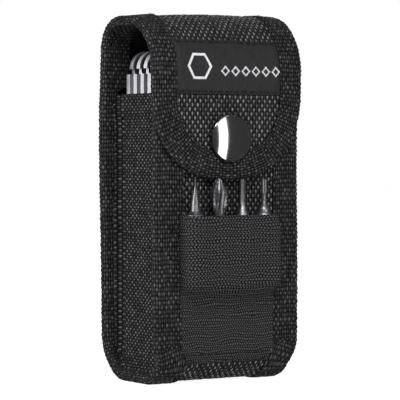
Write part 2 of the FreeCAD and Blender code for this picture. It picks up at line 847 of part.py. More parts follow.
def driver_outline(d):
    """A large screwdriver that narrows towards its edge."""
    tip = d["blade_tip"] + 6.0
    return [(d["blade_outer"], tip + 18.0), (d["blade_outer"] - 1.6, tip),
            (d["blade_inner"] + 1.6, tip), (d["blade_inner"], tip + 18.0)]


def cross_driver_outline(d):
    """A narrow shaft with a blunt point for cross-head screws."""
    tip = d["blade_tip"] + 10.0
    return [(d["blade_outer"], tip + 30.0), (d["blade_outer"] - 2.2, tip + 26.0),
            (d["blade_outer"] - 2.2, tip + 3.0), (d["blade_outer"] - 3.8, tip),
            (d["blade_inner"] + 3.8, tip), (d["blade_inner"] + 2.2, tip + 3.0),
            (d["blade_inner"] + 2.2, tip + 26.0), (d["blade_inner"], tip + 30.0)]


def awl_outline(d):
    """A long pointed awl."""
    tip = d["blade_tip"] + 14.0
    return [(d["blade_outer"], tip + 30.0), (d["pin_across"] + 2.4, tip), (d["blade_inner"], tip + 34.0)]


def make_blade(doc, d, t, name, side, layer, outline):
    """A folded blade: its outline below the tang, and the round tang on the handle's pin."""
    body = new_body(doc, name)
    faces = t.blade(layer)
    root = d["shoulder"] - d["tang"] + 2.0
    loop = [(d["blade_outer"] - 1.6, root)] + outline(d) + [(d["blade_inner"], root)]
    if outline is saw_outline:
        loop = loop[1:]
    loop = [(across * side, up) for across, up in loop]
    pin = Circle(d["pin_across"] * side, d["shoulder"], t.pin_hole)
    tang = Circle(d["pin_across"] * side, d["shoulder"], d["tang"])
    pad(body, "XZ_Plane", [loop], *faces)
    pad(body, "XZ_Plane", [tang], *faces)
    pocket(body, "XZ_Plane", [pin], *faces)
    return body


def make_pin(doc, d, t, name, across, up, radius, front, back):
    """A pin from front to back with a flat head at each end."""
    body = new_body(doc, name)
    head = radius * d["pin_head"] / d["pin_radius"]
    thick = d["pin_head_thick"]
    pad(body, "XZ_Plane", [Circle(across, up, radius)], front, back)
    pad(body, "XZ_Plane", [Circle(across, up, head)], front - thick, front)
    pad(body, "XZ_Plane", [Circle(across, up, head)], back, back + thick)
    return body


def make_jaw(doc, d, t, name, side):
    """One plier jaw: knuckle, arm and joint in half the head's thickness, then the full jaw."""
    body = new_body(doc, name)
    half = d["head_thick"] / 2
    front, back = (t.middle, t.middle + half) if side < 0 else (t.middle - half, t.middle)
    bulge = "left" if side < 0 else "right"
    pin = (d["head_across"] * side, d["head_height"])
    pivot = (size(0), d["jaw_pivot_height"])
    arm = [
        (pin[0] + d["head_knuckle"] * side, pin[1]), (d["jaw_half"] * side, d["divider_foot"] - 1.0),
        (d["jaw_half"] * side, d["jaw_shoulder"]), (-d["jaw_half"] * side, d["jaw_shoulder"]),
        (-d["jaw_half"] * side, pivot[1]), (pin[0] - d["head_knuckle"] * side, pin[1]),
        Arc(d["head_knuckle"], bulge), (pin[0], pin[1] - d["head_knuckle"]),
        Arc(d["head_knuckle"], bulge)]
    holes = [Circle(pin[0], pin[1], t.pin_hole),
             Circle(pivot[0], pivot[1], d["jaw_pivot_radius"] + d["pin_fit"])]
    pad(body, "XZ_Plane", [arm] + holes, front, back)
    inner = -d["jaw_gap"] * side
    jaw = [(inner, d["jaw_shoulder"]), (-d["jaw_half"] * side, d["jaw_shoulder"]),
           (-(d["jaw_half"] - 3.0) * side, d["jaw_tip"]), (inner, d["jaw_tip"])]
    pad(body, "XZ_Plane", [jaw], t.middle - half, t.middle + half)
    return body


def make_head_washers(doc, d, t):
    """Washers that centre the plier head between the outer plates, on both its pins."""
    body = new_body(doc, "head_washers")
    half = d["head_thick"] / 2
    gaps = ((t.plate(4)[1], t.middle - half), (t.middle + half, t.plate(0)[0]))
    for side in (-1, 1):
        across = d["head_across"] * side
        ring = [Circle(across, d["head_height"], d["washer"]),
                Circle(across, d["head_height"], t.pin_hole)]
        for front, back in gaps:
            pad(body, "XZ_Plane", ring, front, back)
    return body


def make_tool(doc, d):
    """The folded multi-tool: two handles, their tools and the plier head between them."""
    t = Tool(d)
    head_front = t.middle - d["head_thick"] / 2
    head_back = t.middle + d["head_thick"] / 2
    tools = {
        "left": [("knife_blade", knife_outline), ("can_opener", can_opener_outline),
                 ("bottle_opener", bottle_opener_outline), ("saw_blade", saw_outline)],
        "right": [("flat_file", file_outline), ("large_driver", driver_outline),
                  ("cross_driver", cross_driver_outline), ("awl", awl_outline)]}
    bodies = []
    for hand, side in (("left", -1), ("right", 1)):
        pins = (("tool_pin", "pin_across", "shoulder", "pin_radius"),
                ("head_pin", "head_across", "head_height", "pin_radius"),
                ("rivet", "rivet_across", "rivet_height", "rivet_radius"))
        bodies.append(make_handle_plate(doc, d, t, f"{hand}_back_plate", side, 0))
        bodies.append(make_handle_plate(doc, d, t, f"{hand}_front_plate", side, 4))
        bodies.append(make_dividers(doc, d, t, f"{hand}_dividers", side))
        bodies.append(make_springs(doc, d, t, f"{hand}_springs", side))
        for layer, (name, outline) in enumerate(tools[hand]):
            bodies.append(make_blade(doc, d, t, name, side, layer, outline))
        for name, across, up, radius in pins:
            bodies.append(make_pin(doc, d, t, f"{hand}_{name}", d[across] * side, d[up], d[radius],
                                   t.front, d["tool_back"]))
        bodies.append(make_jaw(doc, d, t, f"{hand}_jaw", side))
    bodies.append(make_head_washers(doc, d, t))
    bodies.append(make_pin(doc, d, t, "jaw_pivot", size(0), d["jaw_pivot_height"],
                           d["jaw_pivot_radius"], head_front, head_back))
    return bodies


def check(doc, parts):
    """Stops if any object failed or any part is not a valid solid."""
    for item in doc.Objects:
        if "Invalid" in item.State or "Error" in item.State:
            raise RuntimeError(f"{item.Name} failed: {item.State}")
    for part in parts:
        if part.Shape.isNull() or not part.Shape.isValid() or not part.Shape.Solids:
            raise RuntimeError(f"{part.Label} has no valid solid")


def main():
    doc = FreeCAD.newDocument("belt_pouch")
    d = make_sheet(doc)
    p = Pouch(d)
    makers = [
        make_front_panel, make_base_panel, make_back_panel, make_gussets, make_gusset_hems,
        make_front_hem, make_body_bindings, make_belt_loop, make_belt_loop_tacks,
        make_elastic_pocket, make_snap_stud, make_stud_post, make_flap_top_panel,
        make_flap_top_bindings, make_flap_panel, make_flap_binding, make_label, make_snap_cap,
        make_snap_socket, make_snap_spring, make_slotted_bit, make_phillips_bit, make_hex_bit,
        make_star_bit]
    parts = []
    for make in makers:
        made = make(doc, d, p)
        parts += made if isinstance(made, list) else [made]
    parts += make_tool(doc, d)
    doc.recompute()
    check(doc, parts)
    os.makedirs("parts", exist_ok=True)
    for part in parts:
        part.Shape.exportStep(f"parts/{part.Label}.step")
    print(f"{len(parts)} parts written")


main()
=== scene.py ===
import math

import bmesh
import bpy
import numpy as np
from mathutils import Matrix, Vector


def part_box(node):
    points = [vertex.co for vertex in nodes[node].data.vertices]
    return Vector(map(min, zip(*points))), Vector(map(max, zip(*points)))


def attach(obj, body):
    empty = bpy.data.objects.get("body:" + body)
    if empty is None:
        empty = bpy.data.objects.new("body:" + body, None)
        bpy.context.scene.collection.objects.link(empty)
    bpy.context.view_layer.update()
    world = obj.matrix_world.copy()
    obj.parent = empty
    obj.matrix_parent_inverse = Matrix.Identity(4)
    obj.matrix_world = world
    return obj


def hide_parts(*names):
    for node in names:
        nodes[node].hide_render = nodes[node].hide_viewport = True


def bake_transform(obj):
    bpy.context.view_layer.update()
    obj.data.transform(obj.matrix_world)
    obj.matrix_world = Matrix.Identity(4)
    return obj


# Sizes are in millimetres until a mesh is written. x is across, y is back, z is up.
# The cloth wraps round the tool in the side plane, so most fabric is laid out on that wrap:
# s is the length along it from the front's top edge, and n is the height above the cloth's face.
MM = 0.001

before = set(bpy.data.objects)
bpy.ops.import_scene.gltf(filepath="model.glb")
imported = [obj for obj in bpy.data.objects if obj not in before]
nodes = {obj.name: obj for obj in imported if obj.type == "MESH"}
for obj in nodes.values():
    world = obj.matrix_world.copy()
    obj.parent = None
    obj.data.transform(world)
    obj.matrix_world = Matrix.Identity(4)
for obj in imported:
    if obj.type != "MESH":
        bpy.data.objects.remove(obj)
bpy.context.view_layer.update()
rng = np.random.default_rng(7)


def edges(node):
    """A CAD node's lowest and highest corners in millimetres."""
    low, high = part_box(node)
    return np.array(low) / MM, np.array(high) / MM


# ---------------- places from the frame
panel_low, panel_high = edges("front_panel")
back_high = edges("back_panel")[1]
flap_low, flap_high = edges("flap_panel")
label_low, label_high = edges("label")
cap_low, cap_high = edges("snap_cap")
loop_low, loop_high = edges("belt_loop")
elastic_low, elastic_high = edges("elastic_pocket")

BODY_HALF = panel_high[0]
FLAP_HALF = flap_high[0]
FRONT = panel_low[1]
BACK = back_high[1]
CLOTH = panel_high[1] - panel_low[1]
FLOOR_CORE = edges("base_panel")[0][2]
TOP = edges("flap_top_panel")[1][2]
FLAP_FRONT = flap_low[1]
FRONT_TOP = edges("front_hem")[1][2]
HINGE = back_high[2]
SNAP = (cap_low[2] + cap_high[2]) / 2

# Radii of the wrap's bends, the flap's rounded tip, and where body cloth and flap cloth meet.
BODY_CORNER = 11.4
BACK_BEND = 11.0
FRONT_BEND = 18.0
TIP = 67.4
TIP_CENTRE = 98.0
TIP_POWER = 2.3
SPLIT_Y = -2.0

# Yarn spacing across and along, height of the relief, the edge tape's thickness and widths, half
# the width of the bare cloth and of the body's grid, and how high and how far in the seams lie.
FIELD_PITCH = (1.05, 1.40)
TAPE_PITCH = (0.90, 1.45)
FIELD_RELIEF = 0.50
TAPE_RELIEF = 0.60
TAPE_THICK = 0.6
BODY_LEG = 9.9
FLAP_LEG = 8.4
BARE_HALF = 18.4
GRID_HALF = 27.7
SEAM_LIFT = 0.66
SEAM_INSET = 0.9

# The flap is pulled this far sideways.
DRIFT = -2.0


# ---------------- the wrap
def run_along(points):
    """Length along a line of points, from 0 at its first one."""
    return np.hstack([[0], np.cumsum(np.linalg.norm(np.diff(points, axis=0), axis=1))])


def unit(vectors):
    """The same directions with a length of 1."""
    return vectors / np.linalg.norm(vectors, axis=-1, keepdims=True)


def rounded(corners, radii, step=0.1):
    """A path through the corners with round bends, as points and the normals on its right."""
    corners = [np.array(c, float) for c in corners]
    points, normals = [corners[0]], []

    def run_to(end, way):
        start = points[-1]
        count = max(int(np.linalg.norm(end - start) / step), 1)
        for k in range(count):
            points.append(start + (end - start) * (k + 1) / count)
            normals.append(np.array([way[1], -way[0]]))

    for before, here, after, radius in zip(corners, corners[1:], corners[2:], radii):
        into, out = unit(here - before), unit(after - here)
        turn = math.acos(np.clip(into @ out, -1, 1))
        cut = radius * math.tan(turn / 2)
        start = here - into * cut
        side = 1.0 if into[0] * out[1] - into[1] * out[0] > 0 else -1.0
        centre = start + np.array([-into[1], into[0]]) * side * radius
        run_to(start, into)
        count = max(int(radius * turn / step), 2)
        for k in range(count):
            angle = turn * (k + 1) / count * side
            c, d = math.cos(angle), math.sin(angle)
            arm, way = [np.array([c * v[0] - d * v[1], d * v[0] + c * v[1]])
                        for v in (start - centre, into)]
            points.append(centre + arm)
            normals.append(np.array([way[1], -way[0]]))
    run_to(corners[-1], unit(corners[-1] - points[-1]))
    points, normals = np.array(points), np.array([normals[0]] + normals)
    return points, normals, run_along(points)


class Path:
    """A rounded path that gives the point and normal at any length along it."""

    def __init__(self, corners, radii):
        self.points, self.normals, self.lengths = rounded(corners, radii)
        self.total = self.lengths[-1]

    def at(self, s):
        """Two coordinates and two normal components. Past its end the path runs on straight."""
        s = np.asarray(s, float)
        found = [np.interp(s, self.lengths, column)
                 for column in (*self.points.T, *self.normals.T)]
        past = np.clip(s - self.total, 0, None)
        found[0] = found[0] - past * found[3]
        found[1] = found[1] + past * found[2]
        return found

    def where(self, test):
        """The first length at which a point passes the test."""
        hits = np.nonzero([test(p) for p in self.points])[0]
        return self.lengths[hits[0]]


wrap = Path(
    [(FRONT, FRONT_TOP), (FRONT, FLOOR_CORE), (BACK, FLOOR_CORE), (BACK, 92), (BACK - 1.6, TOP),
     (FLAP_FRONT, TOP), (FLAP_FRONT, TIP + TAPE_THICK)],
    [BODY_CORNER, BODY_CORNER, 60, BACK_BEND, FRONT_BEND])

S_BASE = wrap.where(lambda p: p[1] < 10)
S_RISE = wrap.where(lambda p: p[0] > 0 and p[1] > 3)
S_TOP = wrap.where(lambda p: p[1] > TOP - 0.2)
S_HINGE = wrap.where(lambda p: p[0] > 0 and p[1] >= HINGE)
S_SPLIT = wrap.where(lambda p: p[1] > TOP - 0.2 and p[0] <= SPLIT_Y)
S_TIP = wrap.total
S_ROUND = S_TIP - (TIP_CENTRE - TIP - TAPE_THICK)


def smooth(t):
    """A soft step from 0 to 1."""
    t = np.clip(t, 0, 1)
    return t * t * (3 - 2 * t)


def resting(s):
    """1 under the base, 0 on the upright cloth."""
    return smooth((s - S_BASE) / 6) * (1 - smooth((s - S_RISE) / 8))


def slack(x, s):
    """Small rises and hollows of the upright cloth, and the crown of the flap's top."""
    wave = 0.16 * np.sin(x / 9.0 + s / 17.0) + 0.12 * np.sin(x / 5.2 - s / 11.0 + 1.3)
    top = smooth((s - S_TOP) / 8) * (1 - smooth((s - S_SPLIT - 6) / 16))
    crown = 1.1 * (1 - ((x - 6) / 27) ** 2)
    return wave * smooth((s - 1) / 8) * (1 - resting(s)) * (1 - top) + crown * top


def on_wrap(x, s, n):
    """Points off the wrap. The flap pulls to the left, and nothing goes under the base."""
    y, z, ny, nz = wrap.at(s)
    n = n + slack(x, s)
    x = x + DRIFT * smooth((s - S_TOP) / 30)
    return np.stack([x + 0 * y, y + n * ny, np.maximum(z + n * nz, 0)], -1)


def half_width(s):
    """Half the cloth's width along the wrap: body, flap, then the flap's round tip."""
    wide = BODY_HALF + (FLAP_HALF - BODY_HALF) * smooth((s - S_TOP) / 18)
    wide = wide - 2.2 * smooth((s - S_BASE + 4) / 10) * (1 - smooth((s - S_RISE) / 14))
    wide = wide - 0.8 * smooth((s - S_RISE) / 14) * (1 - smooth((s - S_RISE - 20) / 60))
    reach = np.clip((s - S_ROUND) / (S_TIP - S_ROUND), 0, 1)
    return wide * (1 - reach ** TIP_POWER) ** (1 / TIP_POWER)


# ---------------- weave and meshes
UNEVEN = rng.uniform(0.72, 1.12, (61, 67))


def weave(u, v, pitch):
    """Height of a plain weave, from 0 to 1. Yarns along v go over and under those along u."""
    a, b = u / pitch[0], v / pitch[1]
    cell = UNEVEN[np.floor(a).astype(int) % 61, np.floor(b).astype(int) % 67]
    across, along = np.sin(math.pi * a), np.sin(math.pi * b)
    round_a = np.sqrt(np.clip(1 - (2 * (a % 1) - 1) ** 2, 0, 1))
    round_b = np.sqrt(np.clip(1 - (2 * (b % 1) - 1) ** 2, 0, 1))
    warp = 0.6 * round_a + 0.4 * np.sign(across) * along
    weft = 0.6 * round_b - 0.4 * np.sign(along) * across
    return np.clip(np.maximum(warp, weft) * cell, 0, 1)


def placed(name, data):
    """A new object in the scene."""
    thing = bpy.data.objects.new(name, data)
    bpy.context.scene.collection.objects.link(thing)
    return thing


def write_mesh(name, points, quads, corner_uv, material, extra=(), sharp=None):
    """A mesh object from points in millimetres. corner_uv is in millimetres of cloth."""
    mesh = bpy.data.meshes.new(name)
    faces = [tuple(q) for q in quads.tolist()] + [tuple(e) for e in extra]
    mesh.from_pydata((points * MM).tolist(), [], faces)
    layer = mesh.uv_layers.new(name="cloth")
    flat = np.zeros((len(mesh.loops), 2), np.float32)
    flat[:len(quads) * 4] = corner_uv.reshape(-1, 2)
    layer.data.foreach_set("uv", flat.ravel())
    built = bmesh.new()
    built.from_mesh(mesh)
    bmesh.ops.recalc_face_normals(built, faces=built.faces)
    built.to_mesh(mesh)
    built.free()
    mesh.shade_smooth()
    if sharp is not None:
        mesh.set_sharp_from_angle(angle=math.radians(sharp))
    mesh.materials.append(material)
    return placed(name, mesh)


def paint_back(thing, material, hidden):
    """A second material on the marked faces."""
    thing.data.materials.append(material)
    marks = np.zeros(len(thing.data.polygons), np.int32)
    marks[:len(hidden)] = hidden
    thing.data.polygons.foreach_set("material_index", marks)


def laid(u, v, seam):
    """Cloth coordinates from two grids, with one more column where the loop closes."""
    uv = np.stack(np.broadcast_arrays(u, v), -1)
    return np.hstack([uv, uv[:, -1:] + [seam]])


def counted(rows, cols):
    """A grid of running numbers."""
    return np.arange(rows * cols).reshape(rows, cols)


def at_corners(grid, i, j, below, beside, axis=-1):
    """A grid's values at the four corners of its cells."""
    return np.stack([grid[i, j], grid[i, beside], grid[below, beside], grid[below, j]], axis)


def sleeve(name, points, uv, material, sharp=None, lining=None):
    """A closed tube of quads from rows of closed loops, with flat ends. uv has one more column.
    lining is the material from some column on."""
    rows, cols = points.shape[:2]
    i, j = np.indices((rows - 1, cols))
    quads = at_corners(counted(rows, cols), i, j, i + 1, (j + 1) % cols)
    corner = at_corners(uv, i, j, i + 1, j + 1, -2)
    ends = [list(range(cols))[::-1], list(range((rows - 1) * cols, rows * cols))]
    thing = write_mesh(name, points.reshape(-1, 3), quads.reshape(-1, 4),
                       corner.reshape(-1, 4, 2), material, ends, sharp)
    if lining:
        paint_back(thing, lining[0], (j >= lining[1]).ravel())
    return thing


def slab(name, top, bottom, uv, inside, material):
    """A closed sheet from two matching grids. inside marks the cells that are kept."""
    rows, cols = top.shape[:2]
    count = rows * cols
    i, j = np.nonzero(inside)
    face = at_corners(counted(rows, cols), i, j, i + 1, j + 1)
    corner = at_corners(uv, i, j, i + 1, j + 1, -2)
    quads = [face, face[:, ::-1] + count]
    corners = [corner, corner[:, ::-1]]
    padded = np.pad(inside, 1)
    for di, dj, a, b in ((-1, 0, 0, 1), (0, 1, 1, 2), (1, 0, 2, 3), (0, -1, 3, 0)):
        rim = inside & ~padded[1 + di:rows + di, 1 + dj:cols + dj]
        chosen = rim[i, j]
        p, q = face[chosen, a], face[chosen, b]
        quads.append(np.stack([q, p, p + count, q + count], -1))
        u, w = corner[chosen, a], corner[chosen, b]
        corners.append(np.stack([w, u, u, w], -2))
    quads = np.concatenate(quads)
    corners = np.concatenate(corners)
    points = np.concatenate([top.reshape(-1, 3), bottom.reshape(-1, 3)])
    used, index = np.unique(quads, return_inverse=True)
    return write_mesh(name, points[used], index.reshape(-1, 4), corners, material)


# ---------------- materials
class Shader:
    """A material's node tree with one Principled shader."""

    def __init__(self, name, roughness, specular=0.5, metallic=0.0):
        self.material = bpy.data.materials.new(name)
        self.material.use_nodes = True
        self.tree = self.material.node_tree
        self.shader = self.tree.nodes["Principled BSDF"]
        self.set(Roughness=roughness, Specular_IOR_Level=specular, Metallic=metallic)

    def put(self, socket, value):
        if isinstance(value, bpy.types.NodeSocket):
            self.tree.links.new(value, socket)
        else:
            socket.default_value = value

    def add(self, kind, *values, **named):
        """A new node with its first inputs set, and others by name."""
        node = self.tree.nodes.new("ShaderNode" + kind)
        for socket, value in zip(node.inputs, values):
            self.put(socket, value)
        for name, value in named.items():
            self.put(node.inputs[name], value)
        return node

    def math(self, operation, *values):
        node = self.add("Math", *values)
        node.operation = operation
        return node.outputs[0]

    def times(self, a, b):
        return self.math("MULTIPLY", a, b)

    def fit(self, value, gain, offset):
        """value * gain + offset"""
        return self.math("MULTIPLY_ADD", value, gain, offset)

    def tools(self):
        return self.math, self.times, self.fit

    def cloth(self, turn=0.0):
        """The cloth's own coordinates in millimetres, turned by some degrees."""
        node = self.add("UVMap")
        node.uv_map = "cloth"
        if turn:
            spin = self.add("Mapping", Vector=node.outputs[0])
            spin.inputs["Rotation"].default_value[2] = math.radians(turn)
            node = spin
        return self.add("SeparateXYZ", node.outputs[0]).outputs[:2]

    def combine(self, x, y, z=0.0):
        return self.add("CombineXYZ", x, y, z).outputs[0]

    def noise(self, vector, scale, detail=2.0):
        return self.add("TexNoise", Vector=vector, Scale=scale, Detail=detail).outputs["Fac"]

    def place(self):
        """The object's own coordinates in metres."""
        return self.add("TexCoord").outputs["Object"]

    def ramp(self, value, stops):
        """Colours between stops of (value, colour)."""
        node = self.add("ValToRGB", value)
        ramp = node.color_ramp
        while len(ramp.elements) < len(stops):
            ramp.elements.new(0.5)
        for element, (spot, colour) in zip(ramp.elements, stops):
            element.position = spot
            element.color = (*colour, 1)
        return node.outputs[0]

    def bump(self, height, distance):
        return self.add("Bump", Strength=1.0, Distance=distance, Height=height).outputs[0]

    def set(self, **values):
        for name, value in values.items():
            self.put(self.shader.inputs[name.replace("_", " ")], value)
        return self.material


FILAMENTS = 9.0


def weave_nodes(shader, u, v, pitch):
    """The same plain weave as weave(), in nodes: its height, whether the yarn along v is on top,
    and how near the middle of that yarn a place is."""
    m, times, fit = shader.tools()
    a, b = m("DIVIDE", u, pitch[0]), m("DIVIDE", v, pitch[1])
    across = m("SINE", times(a, math.pi))
    along = m("SINE", times(b, math.pi))

    def dome(t):
        centred = fit(m("FLOORED_MODULO", t, 1.0), 2.0, -1.0)
        return m("SQRT", m("MAXIMUM", m("SUBTRACT", 1.0, times(centred, centred)), 0.0))

    warp = fit(times(m("SIGN", across), along), 0.4, times(dome(a), 0.6))
    weft = fit(times(m("SIGN", along), across), -0.4, times(dome(b), 0.6))
    return m("MAXIMUM", warp, weft), m("GREATER_THAN", warp, weft), dome(a)


def woven(name, pitch, warp, weft, gap, roughness, specular, relief, sharp=2.0, glint_narrowing=0.5,
          wander=0.25):
    """Woven yarn with filaments along it. Its colour holds painted light: a painted highlight on
    top of each float and painted shade in the gaps. warp and weft are the painted highlight levels
    on floats of the yarns along v and along u, gap is the painted shade, and sharp sets how fast
    the highlight falls off.
    """
    shader = Shader(name, roughness, specular)
    m, times, fit = shader.tools()
    u, v = shader.cloth()
    sway = shader.noise(shader.combine(times(u, 0.25), times(v, 0.25)), 1.0, 1.0)
    shift = fit(sway, 2 * wander, -wander)
    u, v = m("ADD", u, shift), m("SUBTRACT", v, shift)
    height, warp_up, middle = weave_nodes(shader, u, v, pitch)
    thin_u = shader.noise(shader.combine(times(u, FILAMENTS), v), 1.0)
    thin_v = shader.noise(shader.combine(u, times(v, FILAMENTS), 3.0), 1.0)
    strand = m("ADD", times(thin_u, warp_up), times(thin_v, m("SUBTRACT", 1.0, warp_up)))
    patch = shader.noise(shader.place(), 260.0, 3.0)
    cell = shader.add("TexWhiteNoise", Vector=shader.combine(
        m("FLOOR", m("DIVIDE", u, pitch[0])), m("FLOOR", m("DIVIDE", v, pitch[1]))))
    cell.noise_dimensions = "2D"
    # Painted light: each float's crown is painted lighter as a highlight, and the colour fades to
    # painted shade in the gaps.
    crown = m("MAXIMUM", fit(height, 1.9, -0.9), 0.0)
    tone = times(m("POWER", crown, sharp), fit(strand, 1.6, 0.2))
    tone = times(tone, fit(patch, 1.0, 0.5))
    tone = times(tone, fit(cell.outputs["Value"], 1.1, 0.45))
    # Painted glint: floats of the yarns along v take the brighter level, thinned across the yarn
    # into a narrow highlight; the others take the dimmer level.
    level = times(m("POWER", middle, glint_narrowing), warp)
    level = fit(warp_up, m("SUBTRACT", level, weft), weft)
    # The gap level is the painted shade where the crown has faded out.
    level = fit(tone, level, gap)
    colour = shader.combine(level, level, times(level, 1.04))
    bump = shader.bump(fit(strand, 0.22, height), relief * MM)
    rough = fit(strand, 0.25, roughness - 0.12)
    return shader.set(Base_Color=colour, Roughness=rough, Normal=bump)


def grey(level, tint=0.04):
    """A grey that leans to blue."""
    return (level, level, level * (1 + tint))


# The weaves below paint light into their colour: after the pitch come the painted highlight levels
# on the two floats and the painted shade in the gaps.
CLOTH_SKIN = woven("field_weave", FIELD_PITCH, 0.150, 0.016, 0.0020, 0.36, 0.14, 0.35,
                   sharp=1.2, glint_narrowing=4.0)
TAPE_SKIN = woven("tape_weave", TAPE_PITCH, 0.059, 0.024, 0.0030, 0.5, 0.08, 0.45, sharp=1.15,
                  glint_narrowing=0.9, wander=0.45)
GUSSET_SKIN = woven("gusset_weave", (1.12, 0.93), 0.095, 0.016, 0.001, 0.45, 0.10, 0.40,
                    sharp=1.3, glint_narrowing=1.2, wander=0.15)
WEBBING_SKIN = woven("webbing_weave", (0.7, 1.5), 0.036, 0.024, 0.001, 0.5, 0.10, 0.30)
THREAD_SKIN = woven("sewing_thread", (0.2, 0.5), 0.030, 0.024, 0.004, 0.5, 0.12, 0.05)
# The cloth's coated back is near black: partly its own dark coating, partly painted shade for the
# inside of the pouch and under the flap.
LINING_AND_SHADE_SKIN = woven("coated_lining_and_painted_shade", (0.5, 0.5), 0.006, 0.004, 0.005, 0.8, 0.06, 0.05)


KNIT_ROW = 0.845
KNIT_STROKE = 1.05


def elastic_skin():
    """Knitted rubber tape: rows of short strokes that lean left and right by turns."""
    shader = Shader("elastic_knit", 0.8, 0.10)
    m, times, fit = shader.tools()
    u, v = shader.cloth()
    sway = shader.noise(shader.combine(times(u, 0.10), times(v, 0.22)), 1.0, 1.0)
    v = fit(sway, 2.4, v)
    row = m("FLOOR", m("DIVIDE", v, KNIT_ROW))
    lean = fit(m("FLOORED_MODULO", row, 2.0), 2.0, -1.0)
    rise = m("FLOORED_MODULO", m("DIVIDE", v, KNIT_ROW), 1.0)
    slant = fit(times(lean, rise), 0.42, u)
    stroke = fit(m("SINE", times(slant, math.tau / KNIT_STROKE)), 0.5, 0.5)
    height = times(stroke, m("SINE", times(rise, math.pi)))
    band = m("SINE", times(v, math.pi / KNIT_ROW))
    fuzz = shader.noise(shader.combine(times(u, 2.0), v), 1.3, 4.0)
    # Painted light and shade: the colour follows the bump's height, lighter on the raised strokes
    # and rows and darker between them; the fuzz in it is also random tone.
    tone = m("ADD", times(height, 0.60), times(fuzz, 0.62))
    tone = fit(band, 0.03, tone)
    colour = shader.ramp(tone, [(0.32, grey(0.0005)), (0.98, grey(0.085))])
    shape = fit(band, 0.20, fit(fuzz, 0.4, height))
    return shader.set(Base_Color=colour, Normal=shader.bump(shape, 0.12 * MM))


def satin_skin():
    """Tightly woven satin ribbon with a soft gloss."""
    shader = Shader("label_satin_weave", 0.42, 0.16)
    _, times, fit = shader.tools()
    u, v = shader.cloth()
    height, _, _ = weave_nodes(shader, u, v, (0.16, 0.30))
    cloud = shader.noise(shader.combine(times(u, 2.5), times(v, 0.3)), 0.9, 3.0)
    # Partly painted light: the colour follows the bump, lighter on the raised yarns and streaks and
    # darker between them; the streaks are also the ribbon's own uneven tone.
    colour = shader.ramp(fit(height, 0.3, times(cloud, 0.7)),
                         [(0.2, grey(0.004)), (0.8, grey(0.026))])
    rough = fit(cloud, 0.2, 0.38)
    shape = fit(cloud, 0.8, times(height, 0.3))
    return shader.set(Base_Color=colour, Roughness=rough, Normal=shader.bump(shape, 0.10 * MM))


def embroidery_skin():
    """Slanting white thread."""
    shader = Shader("white_embroidery", 0.55, 0.3)
    m, times, fit = shader.tools()
    u, v = shader.cloth(25)
    strand = m("SINE", times(u, math.tau / 0.32))
    fuzz = shader.noise(shader.combine(u, v), 3.0, 3.0)
    # Painted light and shade: the thread's ridges, which the bump also raises, are painted lighter
    # and the grooves between them darker; the fuzz is random tone.
    colour = shader.ramp(fit(strand, 0.15, fuzz),
                         [(0.2, grey(0.80)), (0.8, grey(0.96))])
    return shader.set(Base_Color=colour, Normal=shader.bump(strand, 0.08 * MM))


def metal_skin(name, low, high, roughness, grain=(300.0, 300.0, 12.0), relief=0.01):
    """Metal with a fine grain along one direction, patches of wear and small scratches."""
    shader = Shader(name, roughness, 0.5, 1.0)
    _, times, fit = shader.tools()
    parts = shader.add("SeparateXYZ", shader.place()).outputs
    stretched = shader.combine(*[times(out, scale) for out, scale in zip(parts, grain)])
    lines = shader.noise(stretched, 8.0, 3.0)
    patch = shader.noise(shader.place(), 160.0, 3.0)
    tone = fit(patch, 0.6, times(lines, 0.4))
    colour = shader.ramp(tone, [(0.25, low), (0.75, high)])
    rough = fit(patch, 0.16, fit(lines, 0.10, roughness - 0.13))
    return shader.set(Base_Color=colour, Roughness=rough,
                      Normal=shader.bump(lines, relief * MM))


def gloss_skin():
    """Black polished nickel on the snap's cap."""
    shader = Shader("black_nickel", 0.08, 0.5, 1.0)
    smear = shader.noise(shader.place(), 220.0, 3.0)
    rough = shader.fit(smear, 0.06, 0.05)
    colour = shader.ramp(smear, [(0.3, grey(0.24)), (0.8, grey(0.30))])
    return shader.set(Base_Color=colour, Roughness=rough,
                      Normal=shader.bump(smear, 0.003 * MM))


EMBROIDERY_SKIN = embroidery_skin()

# By the name of the CAD's slot. CAD nodes that still show get the same skins.
SKINS = {
    "woven_nylon": CLOTH_SKIN, "edge_tape": TAPE_SKIN, "gusset_cloth": GUSSET_SKIN,
    "webbing": WEBBING_SKIN, "thread": THREAD_SKIN, "elastic": elastic_skin(),
    "label_satin": satin_skin(), "cap_metal": gloss_skin(),
    "frame_steel": metal_skin("ground_steel", grey(0.80), grey(0.95), 0.58),
    "blade_steel": metal_skin("satin_steel", grey(0.012), grey(0.04), 0.42),
    "jaw_steel": metal_skin("forged_steel", grey(0.34), grey(0.52), 0.36),
    "pin_steel": metal_skin("turned_steel", grey(0.48), grey(0.66), 0.28, (60.0, 300.0, 60.0)),
    "bit_steel": metal_skin("blasted_steel", grey(0.17), grey(0.31), 0.42,
                            (220.0, 220.0, 60.0), 0.02),
    "snap_metal": metal_skin("plated_brass", (0.36, 0.31, 0.22), (0.50, 0.44, 0.33), 0.3,
                             (90.0, 90.0, 90.0))}


# ---------------- body and flap cloth
def aligned(low, high, pitch, share):
    """Samples at the same places on every yarn, so that the relief has no moire."""
    step = pitch / share
    first = math.ceil(low / step - 0.5)
    last = math.floor(high / step - 0.5)
    return (np.arange(first, last + 1) + 0.5) * step


